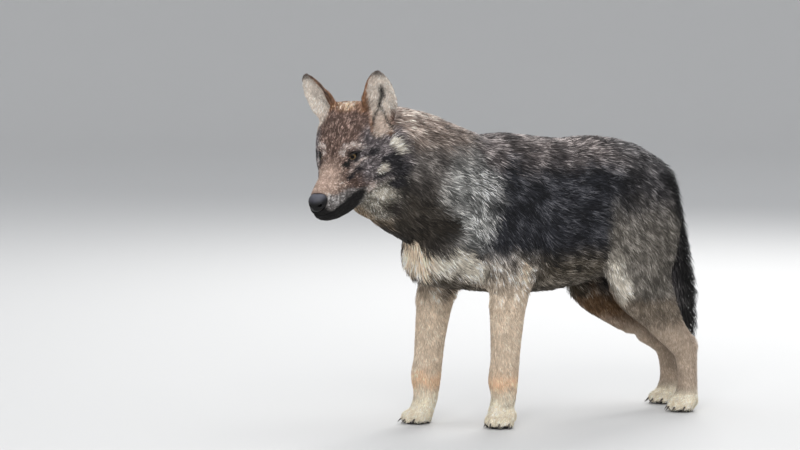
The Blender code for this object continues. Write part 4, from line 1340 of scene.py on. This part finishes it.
def build_nose():
    """The nose pad with its nostrils, the slits beside them and the groove down its front."""
    turns = np.linspace(0, 2 * math.pi, NOSE_TURNS, endpoint=False)
    round_it = np.column_stack((np.zeros(NOSE_TURNS), np.sin(turns), -np.cos(turns)))
    ahead = np.array((1.0, 0.0, 0.0))
    angles = np.linspace(math.pi, 0.0, NOSE_RINGS + 1)[1:-1]
    rows = [ahead * math.cos(angle) + round_it * math.sin(angle) for angle in angles]
    ball, faces = closed_ball(rows, (ahead, -ahead))
    x, y, z = (np.sign(ball) * np.abs(ball) ** NOSE_SQUARE).T
    aside = y * NOSE_HALF.y * (1.0 - 0.25 * np.maximum(-z, 0.0))
    high = z * NOSE_HALF.z
    front = x * NOSE_HALF.x - 0.25 * (np.abs(aside) + high) - hollow_at(aside, high) * np.clip(3 * x, 0, 1)
    points = np.array(NOSE_AT) + np.column_stack((front, aside, high))
    mesh = mesh_from("nose_pad", from_head(points), faces)
    # Painted light on the nose colour: a painted sky reflection makes the top lighter, and painted shade
    # darkens the underside.
    leather = 0.06 + 4.6 * ramp(0.05, 0.95, z)
    store(mesh, "nose colour", palette()["nose"] * leather[:, None])
    place_piece(mesh, "nose_pad", nose_material(), ["nose"])


def nose_material():
    """Black, moist and finely pebbled leather of the nose."""
    material = toned_material("Nose", "nose colour", 0.42, 0.5, 700.0, 0.1, specular=0.25)
    tree = material.node_tree
    shader = tree.nodes["Principled BSDF"]
    place = tree.nodes.new("ShaderNodeTexCoord")
    pebbles = joined(tree, "ShaderNodeTexVoronoi", Scale=850.0)
    relief = joined(tree, "ShaderNodeBump", Strength=0.35, Distance=0.0006, invert=True)
    tree.links.new(place.outputs["Object"], pebbles.inputs["Vector"])
    tree.links.new(pebbles.outputs["Distance"], relief.inputs["Height"])
    tree.links.new(relief.outputs["Normal"], shader.inputs["Normal"])
    return material


# ---------------------------------------------------------------- skin


def build_skin():
    """One skin in place of every node of flesh, in the coat's own markings."""
    surface = form()
    mesh = mesh_from("skin", surface.points, [surface.triangles])
    tone, spread = markings(surface.points, surface.parts, surface.across)
    bare = share_of(surface.parts, "paw") * ramp(0.009, 0.005, surface.points[:, 2])
    mottle = 1 - 0.3 * spread * (1 + cloud(surface.points, 0.006, 70))
    pads = palette()["lips"] * 2
    store(mesh, "skin colour", mixed(tone * 0.75 * mottle[:, None], pads, np.clip(bare * 2, 0, 1)))
    material = toned_material("Skin", "skin colour", 0.68, 0.5, 600.0, 0.5, specular=0.3)
    place_piece(mesh, "skin", material, FLESH)


# ---------------------------------------------------------------- settings


class WolfSizes(bpy.types.PropertyGroup):
    """Sizes that a user would change."""

    skin_mesh: FloatProperty(
        name="Skin Mesh", description="Size of the skin's mesh", default=0.003, min=0.002, unit="LENGTH"
    )
    thickness: FloatProperty(
        name="Thickness", description="How many tufts the coat has, against the usual", default=1.0, min=0.05
    )


def colour_property(name, description, default):
    """One colour setting."""
    return FloatVectorProperty(
        name=name, description=description, subtype="COLOR", size=3, min=0, max=1, default=default
    )


def display(red, green, blue):
    """A colour given as it shows on a screen, from 0 to 255, as linear light."""
    return tuple(((part / 255 + 0.055) / 1.055) ** 2.4 for part in (red, green, blue))


class WolfColours(bpy.types.PropertyGroup):
    """Colours of the coat and the bare parts."""

    back: colour_property("Back", "Top of the back", display(112, 102, 99))
    flank: colour_property("Flank", "Sides of the trunk", display(47, 48, 54))
    belly: colour_property("Belly", "Under the trunk", display(76, 66, 50))
    croup: colour_property("Croup", "Top of the rump", display(82, 79, 80))
    rump: colour_property("Rump", "Sides of the rump", display(60, 57, 58))
    shoulder: colour_property("Shoulder", "Over the shoulder blades", display(150, 150, 147))
    neck: colour_property("Neck", "Sides of the neck", display(100, 94, 90))
    nape: colour_property("Nape", "Top of the neck", display(158, 140, 128))
    collar: colour_property("Collar", "Dark band under the neck", display(52, 46, 39))
    pale: colour_property("Pale", "Pale patches of shoulder and thigh", display(218, 209, 193))
    white: colour_property("White", "Tufts at the chest, elbow and ear", display(255, 232, 205))
    thigh: colour_property("Thigh", "Thighs", display(112, 106, 98))
    gaskin: colour_property("Gaskin", "Hind legs above the hock", display(128, 115, 100))
    groin: colour_property("Groin", "Inside of the hind legs", display(104, 78, 52))
    hock: colour_property("Hock", "Hind legs below the hock", display(196, 176, 156))
    forearm: colour_property("Forearm", "Forelegs", display(226, 205, 181))
    wrist: colour_property("Wrist", "Tan band at the wrists", display(252, 212, 175))
    foot: colour_property("Foot", "Feet", display(255, 240, 214))
    tail: colour_property("Tail", "Black of the tail", display(26, 25, 25))
    forehead: colour_property("Forehead", "Forehead and crown", display(112, 89, 79))
    cheek: colour_property("Cheek", "Sides of the face", display(112, 104, 105))
    jowl: colour_property("Jowl", "Under the cheeks", display(136, 130, 118))
    stripe: colour_property("Stripe", "Dark stripes behind the eyes", display(42, 40, 43))
    brow: colour_property("Brow", "Pale marks round the eyes", display(216, 198, 188))
    muzzle_side: colour_property("Muzzle Side", "Sides of the muzzle", display(150, 144, 141))
    muzzle_top: colour_property("Muzzle Top", "Bridge of the muzzle", display(184, 158, 142))
    throat: colour_property("Throat", "Behind the chin", display(160, 138, 112))
    lips: colour_property("Lips", "Lips, chin and rims of the eyes", display(24, 22, 22))
    ear_lining: colour_property("Ear Lining", "Inside of the ears", display(238, 224, 210))
    ear_front: colour_property("Ear Front", "Front half of the ears' inside", display(216, 200, 186))
    ear_back: colour_property("Ear Back", "Backs of the ears", display(150, 108, 78))
    iris: colour_property("Iris", "Amber brown of the eyes", display(101, 84, 59))
    horn: colour_property("Horn", "Claws", display(62, 56, 50))
    nose: colour_property("Nose", "Nose leather", display(34, 34, 38))


def settings_of(group):
    """The names of a group's own settings."""
    return [name for name in group.bl_rna.properties.keys() if name not in ("rna_type", "name")]


class WolfStage(bpy.types.PropertyGroup):
    """The camera's place and lens."""

    azimuth: FloatProperty(
        name="Azimuth",
        description="Camera's turn round the wolf from its front",
        default=math.radians(60),
        subtype="ANGLE",
    )
    elevation: FloatProperty(
        name="Elevation", description="Camera's height above level", default=math.radians(5), subtype="ANGLE"
    )
    distance: FloatProperty(name="Distance", description="Camera's distance", default=7.0, unit="LENGTH")
    lens: FloatProperty(name="Lens", description="Camera's focal length in millimetres", default=151.2)


# ---------------------------------------------------------------- operators


class WOLF_OT_skin(bpy.types.Operator):
    """Build the one skin that the coat grows on"""

    bl_idname = "wolf.skin"
    bl_label = "Skin"

    def execute(self, context):
        build_skin()
        return {"FINISHED"}


class WOLF_OT_eyes(bpy.types.Operator):
    """Build both eyes and their lids"""

    bl_idname = "wolf.eyes"
    bl_label = "Eyes and Lids"

    def execute(self, context):
        for side in (1, -1):
            build_eye(side)
            build_lids(side)
        return {"FINISHED"}


class WOLF_OT_nose(bpy.types.Operator):
    """Build the nose pad"""

    bl_idname = "wolf.nose"
    bl_label = "Nose"

    def execute(self, context):
        build_nose()
        return {"FINISHED"}


class WOLF_OT_claws(bpy.types.Operator):
    """Build the claws of all four feet"""

    bl_idname = "wolf.claws"
    bl_label = "Claws"

    def execute(self, context):
        build_claws()
        return {"FINISHED"}


def among(*parts):
    """Which of the coat's roots grow on these kinds of part."""
    kind = coat_plan()[0]["kind"]
    return np.isin(kind, [PARTS.index(part) for part in parts])


class WOLF_OT_coat_head(bpy.types.Operator):
    """Grow the short coat of the head and ears"""

    bl_idname = "wolf.coat_head"
    bl_label = "Coat of the Head"

    def execute(self, context):
        at = in_head(coat_plan()[0]["at"])
        front = at[:, 0] > 0.0
        coat_piece("coat_face", among("head", "jaw") & front, False)
        for side, chosen in (("left", at[:, 1] > 0), ("right", at[:, 1] <= 0)):
            coat_piece(f"coat_cheek_{side}", among("head", "jaw") & ~front & chosen, False)
        coat_piece("coat_ears", among("ear"), False)
        return {"FINISHED"}


class WOLF_OT_coat_body(bpy.types.Operator):
    """Grow the long coat of the neck, trunk and tail"""

    bl_idname = "wolf.coat_body"
    bl_label = "Coat of the Body"

    def execute(self, context):
        left = coat_plan()[0]["at"][:, 0] > MIDLINE
        coat_piece("coat_neck", among("neck"), True)
        for side, chosen in (("left", left), ("right", ~left)):
            coat_piece(f"coat_chest_{side}", among("chest", "shoulder") & chosen, True)
            coat_piece(f"coat_loin_{side}", among("belly") & chosen, True)
            coat_piece(f"coat_rump_{side}", among("rump", "thigh") & chosen, True)
        coat_piece("coat_tail", among("tail"), True)
        return {"FINISHED"}


class WOLF_OT_coat_legs(bpy.types.Operator):
    """Grow the short coat of the legs and feet"""

    bl_idname = "wolf.coat_legs"
    bl_label = "Coat of the Legs"

    def execute(self, context):
        fore = coat_plan()[0]["at"][:, 1] < 0.15
        legs = among("forearm", "shank", "hock", "paw")
        coat_piece("coat_forelegs", legs & fore, False)
        coat_piece("coat_hindlegs", legs & ~fore, False)
        return {"FINISHED"}


class WOLF_OT_stage(bpy.types.Operator):
    """Set up the floor, the soft lights and the camera"""

    bl_idname = "wolf.stage"
    bl_label = "Stage"

    def execute(self, context):
        context.scene.view_settings.view_transform = "Standard"
        add_floor()
        add_lights()
        add_camera(context.scene.wolf_stage)
        return {"FINISHED"}


# The floor: how far it runs flat, its curve's radius, the wall's height and its points round.
FLOOR_FLAT, FLOOR_CURVE, WALL_HEIGHT, FLOOR_TURNS = 9.0, 3.0, 8.0, 96
# The lights: where each one stands, its side and its power.
LIGHTS = {
    "key": ((3.4, -2.4, 2.6), 2.4, 105.0),
    "back": ((-2.4, 2.6, 3.0), 2.0, 120.0),
    "top": ((0.2, 0.2, 4.0), 2.6, 40.0),
}


# What the camera looks at: how far behind the front of the wolf's box and below its top.
AIM = (0.2771, 0.3267)


def add_floor():
    """A wide, plain, pale floor that curves up all round into a wall."""
    angles = np.linspace(0, math.pi / 2, 12)
    wall = FLOOR_FLAT + FLOOR_CURVE
    profile = [(reach, 0.0) for reach in (0.01, 2.0, 4.0, 6.0, 8.0)]
    profile += [(FLOOR_FLAT + FLOOR_CURVE * math.sin(a), FLOOR_CURVE * (1 - math.cos(a))) for a in angles]
    profile += [(wall, 5.0), (wall, WALL_HEIGHT)]
    turns = np.linspace(0, 2 * math.pi, FLOOR_TURNS, endpoint=False)
    flat = np.column_stack((np.cos(turns), np.sin(turns), np.zeros(FLOOR_TURNS)))
    rings = [flat * reach + np.array((0, 0, height)) for reach, height in profile]
    points, quads = swept(rings[::-1])
    floor = bpy.data.objects.new("floor", mesh_from("floor", points, quads))
    bpy.context.scene.collection.objects.link(floor)
    material, tree, shader = new_tree("Pale Floor")
    grain = joined(tree, "ShaderNodeTexNoise", Scale=3.0)
    tones = joined(tree, "ShaderNodeMix", data_type="RGBA")
    tones.inputs["A"].default_value = (0.57, 0.565, 0.555, 1)
    tones.inputs["B"].default_value = (0.60, 0.595, 0.585, 1)
    tree.links.new(grain.outputs["Fac"], tones.inputs["Factor"])
    tree.links.new(tones.outputs["Result"], shader.inputs["Base Color"])
    shader.inputs["Roughness"].default_value = 0.9
    floor.data.materials.append(material)


def add_lights():
    """A soft sky, a wide key from the left and the front, and gentle lights from behind and from the top."""
    world = bpy.data.worlds.new("Soft Sky")
    world.use_nodes = True
    world.node_tree.nodes["Background"].inputs["Color"].default_value = (0.92, 0.95, 1.0, 1.0)
    world.node_tree.nodes["Background"].inputs["Strength"].default_value = 0.95
    bpy.context.scene.world = world
    for name, (at, size, power) in LIGHTS.items():
        light = bpy.data.lights.new(name, "AREA")
        light.energy = power
        light.size = size
        obj = bpy.data.objects.new(name, light)
        bpy.context.scene.collection.objects.link(obj)
        obj.location = at
        aim = Vector((0, 0, 0.35)) - Vector(at)
        obj.rotation_euler = aim.to_track_quat("-Z", "Y").to_euler()


def add_camera(stage):
    """The camera, before the wolf's left shoulder and a little above it."""
    turn, rise = stage.azimuth, stage.elevation
    away = Vector((math.cos(rise) * math.sin(turn), -math.cos(rise) * math.cos(turn), math.sin(rise)))
    (_, front, _), (*_, top) = CAD_BOX
    target = Vector((MIDLINE, front + AIM[0], top - AIM[1]))
    camera = bpy.data.cameras.new("camera")
    camera.lens = stage.lens
    camera.sensor_width = 36.0
    camera.clip_end = 60.0
    obj = bpy.data.objects.new("camera", camera)
    bpy.context.scene.collection.objects.link(obj)
    obj.location = target + away * stage.distance
    obj.rotation_euler = (-away).to_track_quat("-Z", "Y").to_euler()
    bpy.context.scene.camera = obj


class WOLF_PT_panel(bpy.types.Panel):
    """The wolf's sizes, colours and pieces"""

    bl_label = "Wolf"
    bl_idname = "WOLF_PT_panel"
    bl_space_type = "VIEW_3D"
    bl_region_type = "UI"
    bl_category = "Wolf"

    def draw(self, context):
        scene = context.scene
        for group in (scene.wolf_sizes, scene.wolf_colours, scene.wolf_stage):
            box = self.layout.box()
            for name in settings_of(group):
                box.prop(group, name)
        for operator in OPERATORS:
            self.layout.operator(operator.bl_idname)


SETTINGS = (WolfSizes, WolfColours, WolfStage)
OPERATORS = (
    WOLF_OT_stage,
    WOLF_OT_skin,
    WOLF_OT_eyes,
    WOLF_OT_nose,
    WOLF_OT_claws,
    WOLF_OT_coat_head,
    WOLF_OT_coat_body,
    WOLF_OT_coat_legs,
)


def register():
    """Registers the settings, operators and panel."""
    for cls in (*SETTINGS, *OPERATORS, WOLF_PT_panel):
        bpy.utils.register_class(cls)
    bpy.types.Scene.wolf_sizes = PointerProperty(type=WolfSizes)
    bpy.types.Scene.wolf_colours = PointerProperty(type=WolfColours)
    bpy.types.Scene.wolf_stage = PointerProperty(type=WolfStage)


def unregister():
    """Removes what register added."""
    del bpy.types.Scene.wolf_stage
    del bpy.types.Scene.wolf_colours
    del bpy.types.Scene.wolf_sizes
    for cls in reversed((*SETTINGS, *OPERATORS, WOLF_PT_panel)):
        bpy.utils.unregister_class(cls)


def main():
    """Builds every piece in turn."""
    register()
    for operator in OPERATORS:
        category, name = operator.bl_idname.split(".")
        getattr(getattr(bpy.ops, category), name)()


if __name__ == "__main__":
    main()
